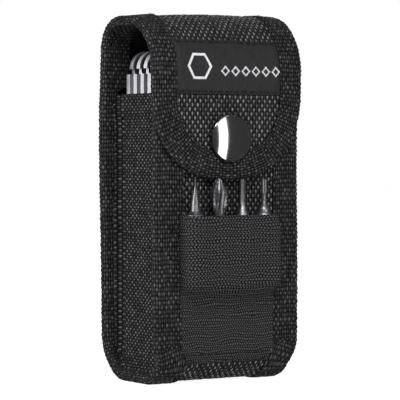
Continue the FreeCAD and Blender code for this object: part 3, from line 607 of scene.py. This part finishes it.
def make_shell():
    """One cloth from the front's top edge, under the tool, up the back and half over the top."""
    s = np.hstack([[0.6], aligned(0.8, S_SPLIT - 0.1, FIELD_PITCH[1], 4), [S_SPLIT]])
    fine = aligned(-BARE_HALF, BARE_HALF, FIELD_PITCH[0], 3)
    share = np.hstack([[-1.0, -0.9, -0.75], fine / GRID_HALF, [0.75, 0.9, 1.0]])
    back = np.linspace(1, -1, 19)
    grid_s = s[:, None]
    wide = half_width(grid_s)
    x_out = np.where(abs(share) > 0.7, share * wide, share * GRID_HALF)
    x_in = back * wide
    x = np.hstack([x_out, x_in])
    u = np.hstack([x_out, 2 * wide - x_in])
    relief = FIELD_RELIEF * (weave(x_out, grid_s, FIELD_PITCH) - 0.6)
    relief = np.where(abs(x_out) < BARE_HALF, relief, 0)
    n = np.hstack([relief, -CLOTH + 0 * x_in])
    points = on_wrap(x, grid_s, n)
    uv = np.stack([u, grid_s + 0 * u], -1)
    uv = np.hstack([uv, uv[:, :1] + [[4 * GRID_HALF, 0]]])
    # The inner faces wear the near-black lining, which also stands for painted shade inside the
    # pouch.
    shell = sleeve("body_cloth", points, uv, CLOTH_SKIN, lining=(LINING_AND_SHADE_SKIN, x_out.shape[1]))
    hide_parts("front_panel", "base_panel", "back_panel", "flap_top_panel")
    return shell


def make_flap_cloth():
    """The flap from the middle of the top down to its round tip."""
    s = np.hstack([[S_SPLIT], aligned(S_SPLIT + 0.1, S_TIP - 1.6, FIELD_PITCH[1], 4)])
    grid_x, grid_s = np.meshgrid(aligned(-27.0, 27.0, FIELD_PITCH[0], 3), s)
    relief = FIELD_RELIEF * (weave(grid_x, grid_s, FIELD_PITCH) - 0.6)
    top = on_wrap(grid_x, grid_s, relief)
    bottom = on_wrap(grid_x, grid_s, -CLOTH)
    kept = abs(grid_x) < half_width(grid_s) - 2.0
    inside = kept[:-1, :-1] & kept[1:, :-1] & kept[:-1, 1:] & kept[1:, 1:]
    uv = np.stack([grid_x, grid_s], -1)
    flap = slab("flap_cloth", top, bottom, uv, inside, CLOTH_SKIN)
    cells = int(inside.sum())
    # The flap's underside wears the near-black lining, which also stands for painted shade under
    # the flap.
    paint_back(flap, LINING_AND_SHADE_SKIN, np.arange(2 * cells) >= cells)
    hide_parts("flap_panel")
    return flap


def make_tape(name, line, deep, inner, reach):
    """Edge tape folded over the cloth's edge along a line of (x, s). deep, inner and reach are
    its thickness over the edge and its widths inside and outside, per point."""
    inward = unit(np.gradient(line, axis=0))[:, ::-1] * [-1, 1]
    middle = len(line) // 2
    if inward[middle] @ (np.array([0, S_ROUND]) - line[middle]) < 0:
        inward = -inward
    legs = np.linspace(1.0, 0.0, 32)[:-1]
    turn = np.linspace(0, math.pi, 13)[1:-1]
    inner_share = np.linspace(0.0, 1.0, 20)
    under_in = np.linspace(1.0, 0.0, 5)
    under_out = np.array([0.02, 0.3, 0.6, 1.0])
    deep, inner, reach = deep[:, None], inner[:, None], reach[:, None]

    def rows(*parts):
        return np.hstack([part + 0 * deep for part in parts])

    # d runs inwards from the edge and n is the height. nd and nn are the way the relief rises.
    mid, tall = (TAPE_THICK - deep) / 2, (TAPE_THICK + deep) / 2
    d = rows(0.8 + (reach - 0.8) * legs, 0.8 - 1.4 * np.sin(turn),
             0.8 + (inner - 0.8) * inner_share, 0.9 + (inner - 0.9) * under_in,
             0.8 + (reach - 0.8) * under_out)
    n = rows(TAPE_THICK + 0 * legs, mid + tall * np.cos(turn), -deep + 0 * inner_share,
             -deep + TAPE_THICK + 0 * under_in, 0 * under_out)
    n[:, :2] = 0.25, 0.52
    level = np.zeros(len(under_in) + len(under_out))
    nd = rows(0 * legs, -np.sin(turn), 0 * inner_share, level)
    nn = rows(0 * legs + 1, np.cos(turn), 0 * inner_share - 1, level)
    gap = np.hypot(np.diff(d, axis=1), np.diff(n, axis=1))
    u, v = rows(0, np.cumsum(gap, axis=1)), run_along(line)[:, None]
    shown = len(legs) + len(turn) + len(inner_share)
    relief = TAPE_RELIEF * (weave(u, v, TAPE_PITCH) - 0.6)
    relief[:, shown:] = 0
    relief[:, shown - len(inner_share):] *= 0.5
    relief[:, 0] = 0
    d, n = d + nd * relief, n + nn * relief
    points = on_wrap(line[:, :1] + inward[:, :1] * d, line[:, 1:] + inward[:, 1:] * d, n)
    tape = sleeve(name, points, laid(u, v, (6.0, 0)), TAPE_SKIN)
    return tape


def flap_outline(inset, down, count):
    """The flap's outline drawn in by some width, from side to side round its tip, as (x, s)."""
    angle = np.linspace(0, math.pi / 2, count)[1:]
    wide, tall = FLAP_HALF - inset, S_TIP - S_ROUND - inset
    half = np.concatenate([
        np.stack([half_width(down) - inset, down], -1),
        np.stack([wide * np.cos(angle) ** (2 / TIP_POWER),
                  S_ROUND + tall * np.sin(angle) ** (2 / TIP_POWER)], -1)])
    return np.concatenate([half * [-1, 1], half[::-1][1:]])


def make_tapes():
    """The tapes down both sides of the body, and the one round the flap."""
    step = TAPE_PITCH[1] / 4
    tapes = []
    for side, name in ((-1, "left"), (1, "right")):
        s = np.arange(-0.3, S_SPLIT, step)
        s = np.append(s, S_SPLIT)
        line = np.stack([side * half_width(s), s], -1)
        change = smooth((s - S_HINGE + 8) / 12)
        inside = 5.0 + 4.9 * smooth((s - S_HINGE + 13.5) / 3.5)
        top = smooth((s - S_TOP) / 12)
        tape = make_tape(f"{name}_tape", line, 3.2 - 0.8 * change, inside - 1.5 * top,
                         BODY_LEG + (FLAP_LEG - BODY_LEG) * top)
        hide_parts(f"{name}_binding", f"{name}_flap_top_binding")
        tapes.append(tape)
    outline = flap_outline(0, np.arange(S_SPLIT, S_ROUND, 0.2), 400)
    length = run_along(outline)
    at = np.append(np.arange(0, length[-1] - step / 2, step), length[-1])
    line = np.stack([np.interp(at, length, outline[:, c]) for c in (0, 1)], -1)
    leg = np.full(len(at), FLAP_LEG)
    tape = make_tape("flap_tape", line, 0 * leg + 2.4, leg, leg)
    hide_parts("flap_binding")
    return tapes + [tape]


def make_front_hem():
    """Tape folded over the front's top edge, between the side tapes."""
    x = np.arange(-17.9, 17.91, TAPE_PITCH[1] / 4)[:, None]
    down = np.arange(8.6, 1.2, -0.3)
    turn = np.linspace(0, math.pi, 11)[1:-1]
    under = np.array([8.6, 5.0, 1.3])
    s = np.hstack([down, 1.3 - 1.3 * np.sin(turn), down[::-1], under, under[::-1]])
    n = np.hstack([0 * down + 0.6, -0.9 + 1.5 * np.cos(turn), 0 * down - 2.4,
                   0 * under - 1.9, 0 * under + 0.02])
    u = run_along(np.stack([s, n], -1))
    flat = np.zeros(2 * len(under))
    way = np.hstack([0 * down + 1, np.cos(turn), 0 * down - 1, flat])
    up = np.hstack([0 * down, -np.sin(turn), 0 * down, flat])
    relief = TAPE_RELIEF * (weave(u, x, TAPE_PITCH) - 0.6)
    points = on_wrap(x, s + up * relief, n + way * relief)
    hem = sleeve("front_hem_tape", points, laid(u, x, (6.0, 0)), TAPE_SKIN)
    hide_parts("front_hem")
    return hem


GUSSET_OUT = edges("right_gusset_hem")[1][0] + 1.2
GUSSET_TOP = edges("right_gusset")[1][2]
GUSSET_HEM = edges("right_gusset_hem")[0][2]
GUSSET_DEEP = BACK - CLOTH - 0.1


def gusset_floor(y):
    """Height of the wrap's inner face under the gusset."""
    inner = BODY_CORNER - CLOTH
    over = np.clip(abs(y) - (BACK - BODY_CORNER), 0, inner)
    return FLOOR_CORE + BODY_CORNER - np.sqrt(inner ** 2 - over ** 2)


def gusset_face(y, z):
    """Distance of the gusset's outer face from the middle. It sags in, and its rims turn out."""
    edge = BACK - CLOTH - abs(y)
    low = z - gusset_floor(y)
    rim = 2.6 * (1 - smooth(edge / 2.6)) + 1.2 * (1 - smooth(low / 3.0))
    hollow = np.clip(1 - (y / (GUSSET_DEEP - 1)) ** 2, 0, 1)
    sag = 0.75 * hollow * np.sin(math.pi * np.clip(z / 96, 0, 1))
    ripple = 0.14 * np.sin(z / 5.5 + y / 4.0) * hollow
    hem = 0.42 * smooth((z - GUSSET_HEM) / 0.5)
    groove = 1.1 * np.exp(-((y - GUSSET_DEEP + 3.6) / 1.3) ** 2) * smooth(low / 8)
    return GUSSET_OUT + np.minimum(rim, 2.6) - sag - groove + ripple + hem


def make_gusset(side, name):
    """The cloth of one narrow side, with its doubled top edge."""
    y = np.linspace(-GUSSET_DEEP, GUSSET_DEEP, 98)[:, None]
    low = gusset_floor(y) + 0.05
    share = np.linspace(0, 1, 190)[None, :]
    z = low + (GUSSET_TOP - 0.7 - low) * share
    outer = gusset_face(y, z)
    thick = 1.2 + 0.9 * smooth((z - GUSSET_HEM + 0.2) / 0.6)
    turn = np.linspace(0, math.pi, 7)[None, 1:-1]
    top_x = outer[:, -1:] - thick[:, -1:] / 2 * (1 - np.cos(turn))
    top_z = GUSSET_TOP - 0.7 + 0.7 * np.sin(turn)
    x = np.hstack([outer, top_x, (outer - thick)[:, ::-1]]) * side
    z_all = np.hstack([z, top_z + 0 * y, z[:, ::-1]])
    points = np.stack([x, y + 0 * x, z_all], -1)
    run = np.hstack([z, 0 * top_x + GUSSET_TOP, 2 * GUSSET_TOP - z[:, ::-1]])
    gusset = sleeve(f"{name}_gusset_cloth", points, laid(y, run, (0, 3.0)), GUSSET_SKIN)
    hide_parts(f"{name}_gusset", f"{name}_gusset_hem")
    return gusset


front_run = wrap.lengths < wrap.where(lambda p: p[1] < 2)


def front_s(z):
    """Length along the wrap of a height on the body's front."""
    return np.interp(-z, -wrap.points[front_run, 1], wrap.lengths[front_run])


def bulge_path(z):
    """The elastic's cross-section over the bits at a height."""
    right = 17.2 - 1.3 * smooth((z - 48) / 8)
    face, seat = elastic_low[1] + 0.15, FRONT - 0.7
    return Path([(-19.6, seat), (-19.5, face), (right, face), (17.6, seat)], [4.3, 4.0])


BIT_FOOT = edges("slotted_bit")[0][2]
BIT_X = [sum(edges(bit)[k][0] for k in (0, 1)) / 2
         for bit in ("slotted_bit", "phillips_bit", "hex_bit", "star_bit")]


ELASTIC_FOOT = 6.9


def make_elastic():
    """One stretched piece of elastic, flat on the front and drawn over the four bits."""
    z = np.concatenate([np.arange(ELASTIC_FOOT, 27, 0.7), np.arange(27, 55.6, 0.4), [55.75, 55.9]])
    t = np.linspace(0, 1, 150)
    flat_x = elastic_low[0] + 0.9 + (elastic_high[0] - elastic_low[0] - 1.0) * t
    rows = []
    for height in z:
        path = bulge_path(height)
        px, py = path.at(t * path.total)[:2]
        between = np.clip((px - BIT_X[0]) / (BIT_X[3] - BIT_X[0]), 0, 1)
        dip = (1 - np.cos(between * 6 * math.pi)) / 2
        py = py + (0.35 + 0.35 * smooth((height - 44) / 10)) * dip
        share = smooth((height - 26.5) / 7.5)
        x = flat_x + (px - flat_x) * share
        flat_y = on_wrap(flat_x, front_s(height), 0.75)[:, 1]
        y = flat_y + (py - flat_y) * share
        crease = 0.35 * math.exp(-((height - 46.4) / 0.9) ** 2) * np.exp(-((x + 13.5) / 3.6) ** 2)
        wave = 0.10 * np.sin(height / 1.9 + x / 6) + 0.12 * np.sin(x / 2.7 + height / 7)
        y = y + crease + wave * 0.7
        rows.append((x, y))
    x, y = np.array(rows).transpose(1, 0, 2)
    dx, dy = np.gradient(x, axis=1), np.gradient(y, axis=1)
    size = np.hypot(dx, dy)
    z = z[:, None]
    band = 0.035 * np.sin(math.tau * z / 1.9)
    y_out, x_out = y - band * dx / size, x + band * dy / size
    thick = 0.62 * np.ones_like(z)
    thick[-1] = 0.3
    x_in, y_in = x - dy / size * thick, y + dx / size * thick
    points = np.concatenate([np.stack([x_out, y_out, z + 0 * x], -1),
                             np.stack([x_in, y_in, z + 0 * x], -1)[:, ::-1]], 1)
    u = np.concatenate([t * 42, 84 - t[::-1] * 42])
    elastic = sleeve("elastic_band", points, laid(u, z, (0.6, 0)), SKINS["elastic"])
    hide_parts("elastic_pocket")
    return elastic


LABEL_S = S_ROUND + TIP_CENTRE - label_low[2]
LABEL_TALL = label_high[2] - label_low[2]
LABEL_HALF = label_high[0] + 1.5


def make_label():
    """The label's satin, a little raised in its middle."""
    x = np.linspace(-LABEL_HALF + 0.05, LABEL_HALF - 0.05, 110)
    s = np.linspace(LABEL_S - LABEL_TALL, LABEL_S, 50)
    grid_x, grid_s = np.meshgrid(x, s)
    rim = np.minimum(np.minimum(grid_s - s[0], s[-1] - grid_s), LABEL_HALF - abs(grid_x))
    puff = 0.22 * smooth(rim / 1.6) + 0.05 * np.sin(grid_x / 2.3) * np.sin(grid_s / 2.9)
    top = on_wrap(grid_x, grid_s, 0.34 + puff)
    bottom = on_wrap(grid_x, grid_s, 0.10)
    uv = np.stack([grid_x, grid_s], -1)
    inside = np.ones((len(s) - 1, len(x) - 1), bool)
    label = slab("label_cloth", top, bottom, uv, inside, SKINS["label_satin"])
    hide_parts("label")
    return label


def make_motif():
    """A plain hexagon and a row of diamonds, embroidered in white."""
    middle = LABEL_S - LABEL_TALL / 2
    shapes = [(-11.6, 0.0, 6, 4.9, 3.85)]
    shapes += [(-1.6 + 4.0 * k, 1.4, 4, 1.8, 0.95) for k in range(6)]
    points, quads, uvs = [], [], []
    for centre, drop, sides, outer, inner in shapes:
        count = 10 * sides
        k = np.arange(count)
        angle = k * math.tau / count
        corner = angle % (math.tau / sides) - math.pi / sides
        flat = math.cos(math.pi / sides) / np.cos(corner)
        first = sum(len(p) for p in points)
        rings = []
        for radius, n in ((outer, 0.5), (outer - 0.08, 0.72), ((outer + inner) / 2, 0.8),
                          (inner + 0.08, 0.72), (inner, 0.5)):
            x = centre + radius * flat * np.cos(angle)
            s = middle + drop + radius * flat * np.sin(angle)
            rings.append(on_wrap(x, s, n))
        points.append(np.vstack(rings))
        for ring in range(5):
            a, b = first + ring * count, first + (ring + 1) % 5 * count
            quads.append(np.stack([a + k, a + (k + 1) % count, b + (k + 1) % count, b + k], -1))
            run = k * 2 * outer * math.pi / count
            uvs.append(np.stack([run, 0 * run + ring], -1)[:, None]
                       + [[0, 0], [0.3, 0], [0.3, 1], [0, 1]])
    motif = write_mesh("label_motif", np.concatenate(points), np.concatenate(quads),
                       np.concatenate(uvs), EMBROIDERY_SKIN)
    return motif


def hexagonal(angle):
    """The share of the radius that keeps a hexagon's flats."""
    return math.cos(math.pi / 6) / np.cos((angle + math.pi / 6) % (math.pi / 3) - math.pi / 6)


def make_bit(node, profile, shape):
    """A bit on its CAD axis: a hexagonal foot, then a profile of (height, radius). shape gives
    the share of the radius left at an angle and height."""
    low, high = edges(node)
    centre = (low + high) / 2 - [0.9 if node == "star_bit" else 0.3, 0, 0]
    shank = [(0, 3.3), (0.35, 3.66), (11.4, 3.66), (11.7, 3.3)]
    profile = np.array([(BIT_FOOT + rise, radius) for rise, radius in shank] + profile)
    z = np.append(np.arange(profile[0, 0], profile[-1, 0], 0.12), profile[-1, 0])[:, None]
    angle = np.linspace(0, math.tau, 72, endpoint=False)
    share = np.where(z < BIT_FOOT + 11.7, hexagonal(angle), shape(angle, z))
    r = np.interp(z, profile[:, 0], profile[:, 1]) * share
    points = np.stack([centre[0] + r * np.cos(angle), centre[1] + r * np.sin(angle), z + 0 * r],
                      -1)
    bit = sleeve(f"{node}_steel", points, laid(angle * 2.5, z, (0.2, 0)), SKINS["bit_steel"], 28)
    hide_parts(node)
    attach(bit, node)
    return bit


def make_bits():
    """The four driver bits: hexagonal feet in the elastic, and four different working ends."""
    def flat_blade(angle, z):
        thin = 1 - 0.78 * smooth((z - 59.5) / 8.5)
        across, along = np.cos(angle + math.radians(33)), np.sin(angle + math.radians(33))
        return 1 / np.sqrt((across / thin) ** 2 + (along / 1.35) ** 2)

    def cross_head(angle, z):
        turn = angle - (z - 62) * 0.07 + 2.3
        groove = np.clip(1.3 * np.cos(4 * turn) + 0.5, 0, 1)
        return 1 - 0.50 * groove * smooth((z - 56.5) / 4)

    def slim_hex(angle, z):
        share = smooth((z - 58.5) / 1.5)
        return 1 + (hexagonal(angle) / 0.93 - 1) * share

    def star(angle, z):
        return 1 - 0.16 * np.clip(np.cos(6 * angle), -0.3, 1) * smooth((z - 62.0) / 1.5)

    ends = {
        "slotted_bit": ([(55.75, 3.0), (56.05, 2.95), (56.5, 2.3), (57.3, 1.66), (59.5, 1.48),
                         (62.0, 1.36), (68.0, 1.30), (68.4, 1.1)], flat_blade),
        "phillips_bit": ([(55.75, 1.95), (57.0, 2.1), (60.0, 2.6), (63.2, 3.05), (64.3, 2.8),
                          (67.6, 0.95), (67.9, 0.7)], cross_head),
        "hex_bit": ([(55.75, 2.2), (56.7, 1.95), (57.8, 1.6), (58.8, 1.25), (60.2, 1.1),
                     (62.5, 1.0), (67.4, 0.95), (67.55, 0.8)], slim_hex),
        "star_bit": ([(55.75, 2.7), (56.3, 2.5), (56.6, 2.05), (57.6, 1.95), (58.4, 1.55),
                      (59.1, 0.95), (60.4, 0.82), (62.0, 0.85), (63.0, 1.0), (67.4, 1.0),
                      (67.55, 0.85)], star)}
    return [make_bit(node, *end) for node, end in ends.items()]


def make_cap():
    """The snap's cap, spun about its post: a low dome in a rolled rim."""
    radius = (cap_high[0] - cap_low[0]) / 2
    face, seat = cap_low[1], FLAP_FRONT - 0.5
    flat = radius - 0.45
    dome = [(r, face + 0.80 * (r / (flat + 0.2)) ** 2) for r in np.linspace(0.001, flat, 22)]
    rim = [(flat + 0.14, face + 0.90), (flat + 0.30, face + 1.04), (radius, face + 1.4),
           (radius - 0.03, face + 1.75), (radius - 0.25, face + 2.1), (radius - 0.6, seat + 0.1)]
    under = [(4.0, seat + 0.2), (1.9, seat + 0.3), (1.9, cap_high[1]), (0.001, cap_high[1])]
    r, y = np.array(dome + rim + under).T
    angle = np.linspace(0, math.tau, 96, endpoint=False)[:, None]
    points = np.stack([DRIFT + r * np.cos(angle), y + 0 * angle, SNAP + r * np.sin(angle)], -1)
    rows, cols = points.shape[:2]
    i, j = np.indices((rows, cols - 1))
    k = (i + 1) % rows
    quads = at_corners(counted(rows, cols), i, j, k, j + 1)
    corner = at_corners(points[..., ::2], i, j, k, j + 1, -2)
    cap = write_mesh("cap_shell", points.reshape(-1, 3), quads.reshape(-1, 4),
                     corner.reshape(-1, 4, 2), SKINS["cap_metal"], (), 14)
    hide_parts("snap_cap")
    return cap


def make_belt_loop():
    """Webbing sewn to the back at both ends, standing off between them."""
    low, high, reach = loop_low[2], loop_high[2], loop_high[1]
    thick = 1.8
    flat = BACK + thick
    path = Path([(flat, low + 0.2), (flat, low + 9), (reach, low + 16), (reach, high - 16),
                 (flat, high - 9), (flat, high - 0.2)], [3, 4, 4, 3])
    s = np.arange(0, path.total, 0.4)[:, None]
    py, pz, ny, nz = path.at(s)
    half = loop_high[0]
    share = np.hstack([[-1.0, -0.97], np.linspace(-0.94, 0.94, 90), [0.97, 1.0]])
    x_out = share * half
    edge = 0.35 * (1 - smooth((1 - abs(share)) / 0.05))
    arch = 0.35 * (1 - share ** 2)
    ribs = 0.10 * np.sin(math.tau * x_out / 1.4)
    out = arch * smooth((s - 8) / 8) * smooth((s[-1] - s - 8) / 8) - 0.4
    n_out = out - edge + ribs * (abs(share) < 0.95)
    n_in = -thick + 0.05 + 0 * n_out + edge
    n = np.hstack([n_out, n_in[:, ::-1]])
    x = np.concatenate([x_out, x_out[::-1]])[None, :] + 0 * n
    points = np.stack([x, py + n * ny, pz + n * nz], -1)
    u = np.concatenate([x_out + half, 4 * half - (x_out[::-1] + half)])
    loop = sleeve("belt_loop_webbing", points, laid(u, s, (1.0, 0)), WEBBING_SKIN)
    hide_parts("belt_loop")
    return loop


# ---------------- stitching
def stitches(name, lines, length=2.3, gap=0.75, width=0.21):
    """Lock stitches along lines of points and normals: each a thread that dips in at its ends."""
    sides = rings = 6
    ring = np.arange(sides) * math.tau / sides
    shape = np.linspace(0, 1, rings)
    lift = 0.9 * np.sin(math.pi * shape) - 0.35
    girth = np.array([0.55, 0.95, 1.0, 1.0, 0.95, 0.55])
    i, j = np.indices((rings - 1, sides))
    round_it = at_corners(counted(rings, sides), i, j, i + 1, (j + 1) % sides).reshape(-1, 4)
    ends = np.array([[0, 1, 2, 3], [0, 3, 4, 5]])
    quad = np.concatenate([round_it, np.array([[3, 2, 1, 0], [5, 4, 3, 0]]),
                           ends + (rings - 1) * sides])
    places = np.stack(np.meshgrid(np.arange(sides + 1), np.arange(rings)), -1)
    corner = at_corners(places, i, j, i + 1, j + 1, -2).reshape(-1, 4, 2)
    corner = np.concatenate([corner * [math.tau * width / sides, length / rings],
                             np.zeros((4, 4, 2))])
    points = []
    for line, normal in lines:
        run = run_along(line)
        for start in np.arange(0.3, run[-1] - length, length + gap):
            at = start + rng.uniform(-0.08, 0.08) + shape * length
            spot, up = [np.stack([np.interp(at, run, part[:, c]) for c in range(3)], -1)
                        for part in (line, normal)]
            way = unit(np.gradient(spot, axis=0))
            side = unit(np.cross(way, up))
            up = np.cross(side, way)
            centre = spot + up * (lift * width)[:, None]
            circle = (side[:, None, :] * np.cos(ring)[None, :, None]
                      + up[:, None, :] * np.sin(ring)[None, :, None])
            body = centre[:, None, :] + circle * (girth * width)[:, None, None]
            points.append(body.reshape(-1, 3))
    quads = np.concatenate([quad + k * rings * sides for k in range(len(points))])
    sewn = write_mesh(name, np.concatenate(points), quads, np.tile(corner, (len(points), 1, 1)),
                      THREAD_SKIN)
    return sewn


def wrap_line(x, s, n):
    """A line of points with normals on the wrap."""
    x, s = np.broadcast_arrays(x, s)
    points = on_wrap(x, s, n - 0.5 * resting(s))
    _, _, ny, nz = wrap.at(s)
    return points, np.stack([0 * x, ny, nz], -1)


def make_stitching():
    """All the seams but the belt loop's, by the name of the piece."""
    s_body = np.arange(1.0, S_HINGE - 0.5, 0.5)
    s_top = np.arange(S_HINGE + 1.0, S_SPLIT - 0.3, 0.5)
    top = BODY_LEG + (FLAP_LEG - BODY_LEG) * smooth((s_top - S_TOP) / 12) - SEAM_INSET
    rim = flap_outline(FLAP_LEG - SEAM_INSET, np.arange(S_SPLIT + 0.5, S_ROUND, 0.5), 60)
    span = np.linspace(-LABEL_HALF + 0.3, LABEL_HALF - 0.3, 60)
    foot = np.linspace(elastic_low[0] + 1.5, elastic_high[0] - 0.6, 60)
    seams = {
        "body_stitching": [(side * (BODY_HALF - (BODY_LEG - SEAM_INSET)), s_body, SEAM_LIFT)
                           for side in (-1, 1)],
        "flap_top_stitching": [(side * (half_width(s_top) - top), s_top, SEAM_LIFT)
                               for side in (-1, 1)],
        "flap_stitching": [(*rim.T, SEAM_LIFT), (span, LABEL_S - SEAM_INSET, 0.58),
                           (span, LABEL_S - LABEL_TALL + SEAM_INSET, 0.58)],
        "elastic_stitching": [(foot, front_s(ELASTIC_FOOT + rise), 0.80) for rise in (1.0, 3.2)],
        "front_hem_stitching": [(np.linspace(-17.4, 17.4, 60), 7.6, SEAM_LIFT)]}
    pieces = {name: stitches(name, [wrap_line(*line) for line in lines])
              for name, lines in seams.items()}

    def gusset_line(side, y, z, lean):
        y, z = np.broadcast_arrays(y, z)
        points = np.stack([side * (gusset_face(y, z) + 0.02), y, z], -1)
        return points, np.tile([side, lean, 0], (len(points), 1))

    across = np.linspace(1.7 - GUSSET_DEEP, GUSSET_DEEP - 1.7, 60)
    upright = np.linspace(7, GUSSET_TOP - 1, 120)
    for side, name in ((-1, "left_gusset_stitching"), (1, "right_gusset_stitching")):
        lines = [gusset_line(side, across, GUSSET_HEM + 0.9, 0)]
        lines += [gusset_line(side, edge, upright, -0.2 * np.sign(edge))
                  for edge in (2.9 - GUSSET_DEEP, GUSSET_DEEP - 2.9)]
        pieces[name] = stitches(name, lines, 1.3, 0.7, 0.15)
    return pieces


def make_tacks():
    """A sewn box with a cross on each end of the belt loop."""
    low, high = edges("belt_loop_tacks")
    y = BACK + 1.45
    lines = []
    for bottom, top in ((low[2], low[2] + 5.0), (high[2] - 5.0, high[2])):
        corners = np.array([(low[0], bottom), (high[0], bottom), (high[0], top), (low[0], top),
                            (low[0], bottom), (high[0], top), (high[0], bottom), (low[0], top)])
        for a, b in zip(corners, corners[1:]):
            line = np.insert(a + (b - a) * np.linspace(0, 1, 40)[:, None], 1, y, 1)
            lines.append((line, np.tile([0.0, 1.0, 0.0], (40, 1))))
    tacks = stitches("belt_loop_stitching", lines, 1.9, 0.5, 0.24)
    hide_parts("belt_loop_tacks")
    return tacks


# ---------------- camera, light, floor
def make_studio():
    """The camera, five soft boxes and a pale floor under a dim room."""
    scene = bpy.context.scene
    scene.view_settings.view_transform = "Standard"
    azimuth, elevation = math.radians(32.88), math.radians(1.39)
    right = Vector((math.cos(azimuth), -math.sin(azimuth), 0))
    away = Vector((-math.sin(azimuth) * math.cos(elevation),
                   -math.cos(azimuth) * math.cos(elevation), math.sin(elevation)))
    aim, distance = right * 0.00061 + Vector((0, 0, 0.0603)), 0.732
    camera = placed("camera", bpy.data.cameras.new("camera"))
    camera.data.lens = 195.1
    camera.data.sensor_width = 36
    scene.camera = camera

    def look(thing, spot, target):
        thing.location = spot
        thing.rotation_euler = (target - thing.location).to_track_quat("-Z", "Y").to_euler()

    look(camera, aim + away * distance, aim)

    world = bpy.data.worlds.new("studio")
    world.use_nodes = True
    tree = world.node_tree
    room = tree.nodes["Background"]
    room.inputs[1].default_value = 0.12
    paper = tree.nodes.new("ShaderNodeBackground")
    for light in (room, paper):
        light.inputs[0].default_value = (1, 1, 1, 1)
    seen = tree.nodes.new("ShaderNodeLightPath")
    either = tree.nodes.new("ShaderNodeMixShader")
    outs = seen.outputs["Is Camera Ray"], room.outputs[0], paper.outputs[0]
    for out, socket in zip(outs, either.inputs):
        tree.links.new(out, socket)
    tree.links.new(either.outputs[0], tree.nodes["World Output"].inputs["Surface"])
    scene.world = world

    middle = Vector((0, 0, 0.06))
    # Soft boxes: degrees from the front and up, distance, width, height and radiance.
    for name, turn, lift, far, width, height, radiance in (
            ("strip_front", 20.6, 0, 0.8, 0.14, 0.9, 6), ("key_front", -24, 38, 0.9, 0.45, 0.45, 9),
            ("key_left", -104, 12, 0.9, 0.4, 0.7, 8), ("top", 0, 80, 0.9, 0.7, 0.6, 0.7),
            ("back_right", 125, 25, 1.0, 0.4, 0.6, 1.5)):
        turn, lift = math.radians(turn), math.radians(lift)
        spot = Vector((math.sin(turn) * math.cos(lift), -math.cos(turn) * math.cos(lift),
                       math.sin(lift))) * far + middle
        data = bpy.data.lights.new(name, "AREA")
        data.shape = "RECTANGLE"
        data.size, data.size_y = width, height
        data.energy = radiance * math.pi * width * height
        lamp = placed(name, data)
        lamp.visible_camera = False
        look(lamp, spot, middle)

    shader = Shader("floor_paper", 1.0, 0.0)
    grain = shader.noise(shader.place(), 6.0, 2.0)
    shader.set(Base_Color=shader.ramp(grain, [(0.0, grey(0.48, 0)), (1.0, grey(0.52, 0))]),
               Emission_Color=(1, 1, 1, 1), Emission_Strength=0.93)
    mesh = bpy.data.meshes.new("floor")
    mesh.from_pydata([(-3, -3, 0), (3, -3, 0), (3, 3, 0), (-3, 3, 0)], [], [(0, 1, 2, 3)])
    mesh.materials.append(shader.material)
    floor = placed("floor", mesh)
    floor.visible_glossy = False


make_studio()
shell = make_shell()
flap_cloth = make_flap_cloth()
left_tape, right_tape, flap_tape = make_tapes()
front_hem = make_front_hem()
gussets = [make_gusset(-1, "left"), make_gusset(1, "right")]
elastic = make_elastic()
label, motif = make_label(), make_motif()
cap = make_cap()
make_bits()
belt_loop, tacks = make_belt_loop(), make_tacks()
sewing = make_stitching()

# ---------------- joints
# The cloth that runs over the bends and the flap's pieces are baked in place; the other pieces go
# with the pouch, and the cap with the flap's front.
for piece in (shell, left_tape, right_tape):
    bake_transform(piece)
for piece in (flap_cloth, flap_tape, label, motif, sewing["flap_stitching"]):
    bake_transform(piece)
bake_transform(sewing["flap_top_stitching"])
for name, piece in sewing.items():
    if not name.startswith("flap"):
        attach(piece, "pouch")
for piece in (front_hem, *gussets, elastic, belt_loop, tacks):
    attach(piece, "pouch")
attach(cap, "flap_front")

for node in nodes.values():
    for place in node.material_slots:
        place.material = SKINS[place.material.name]
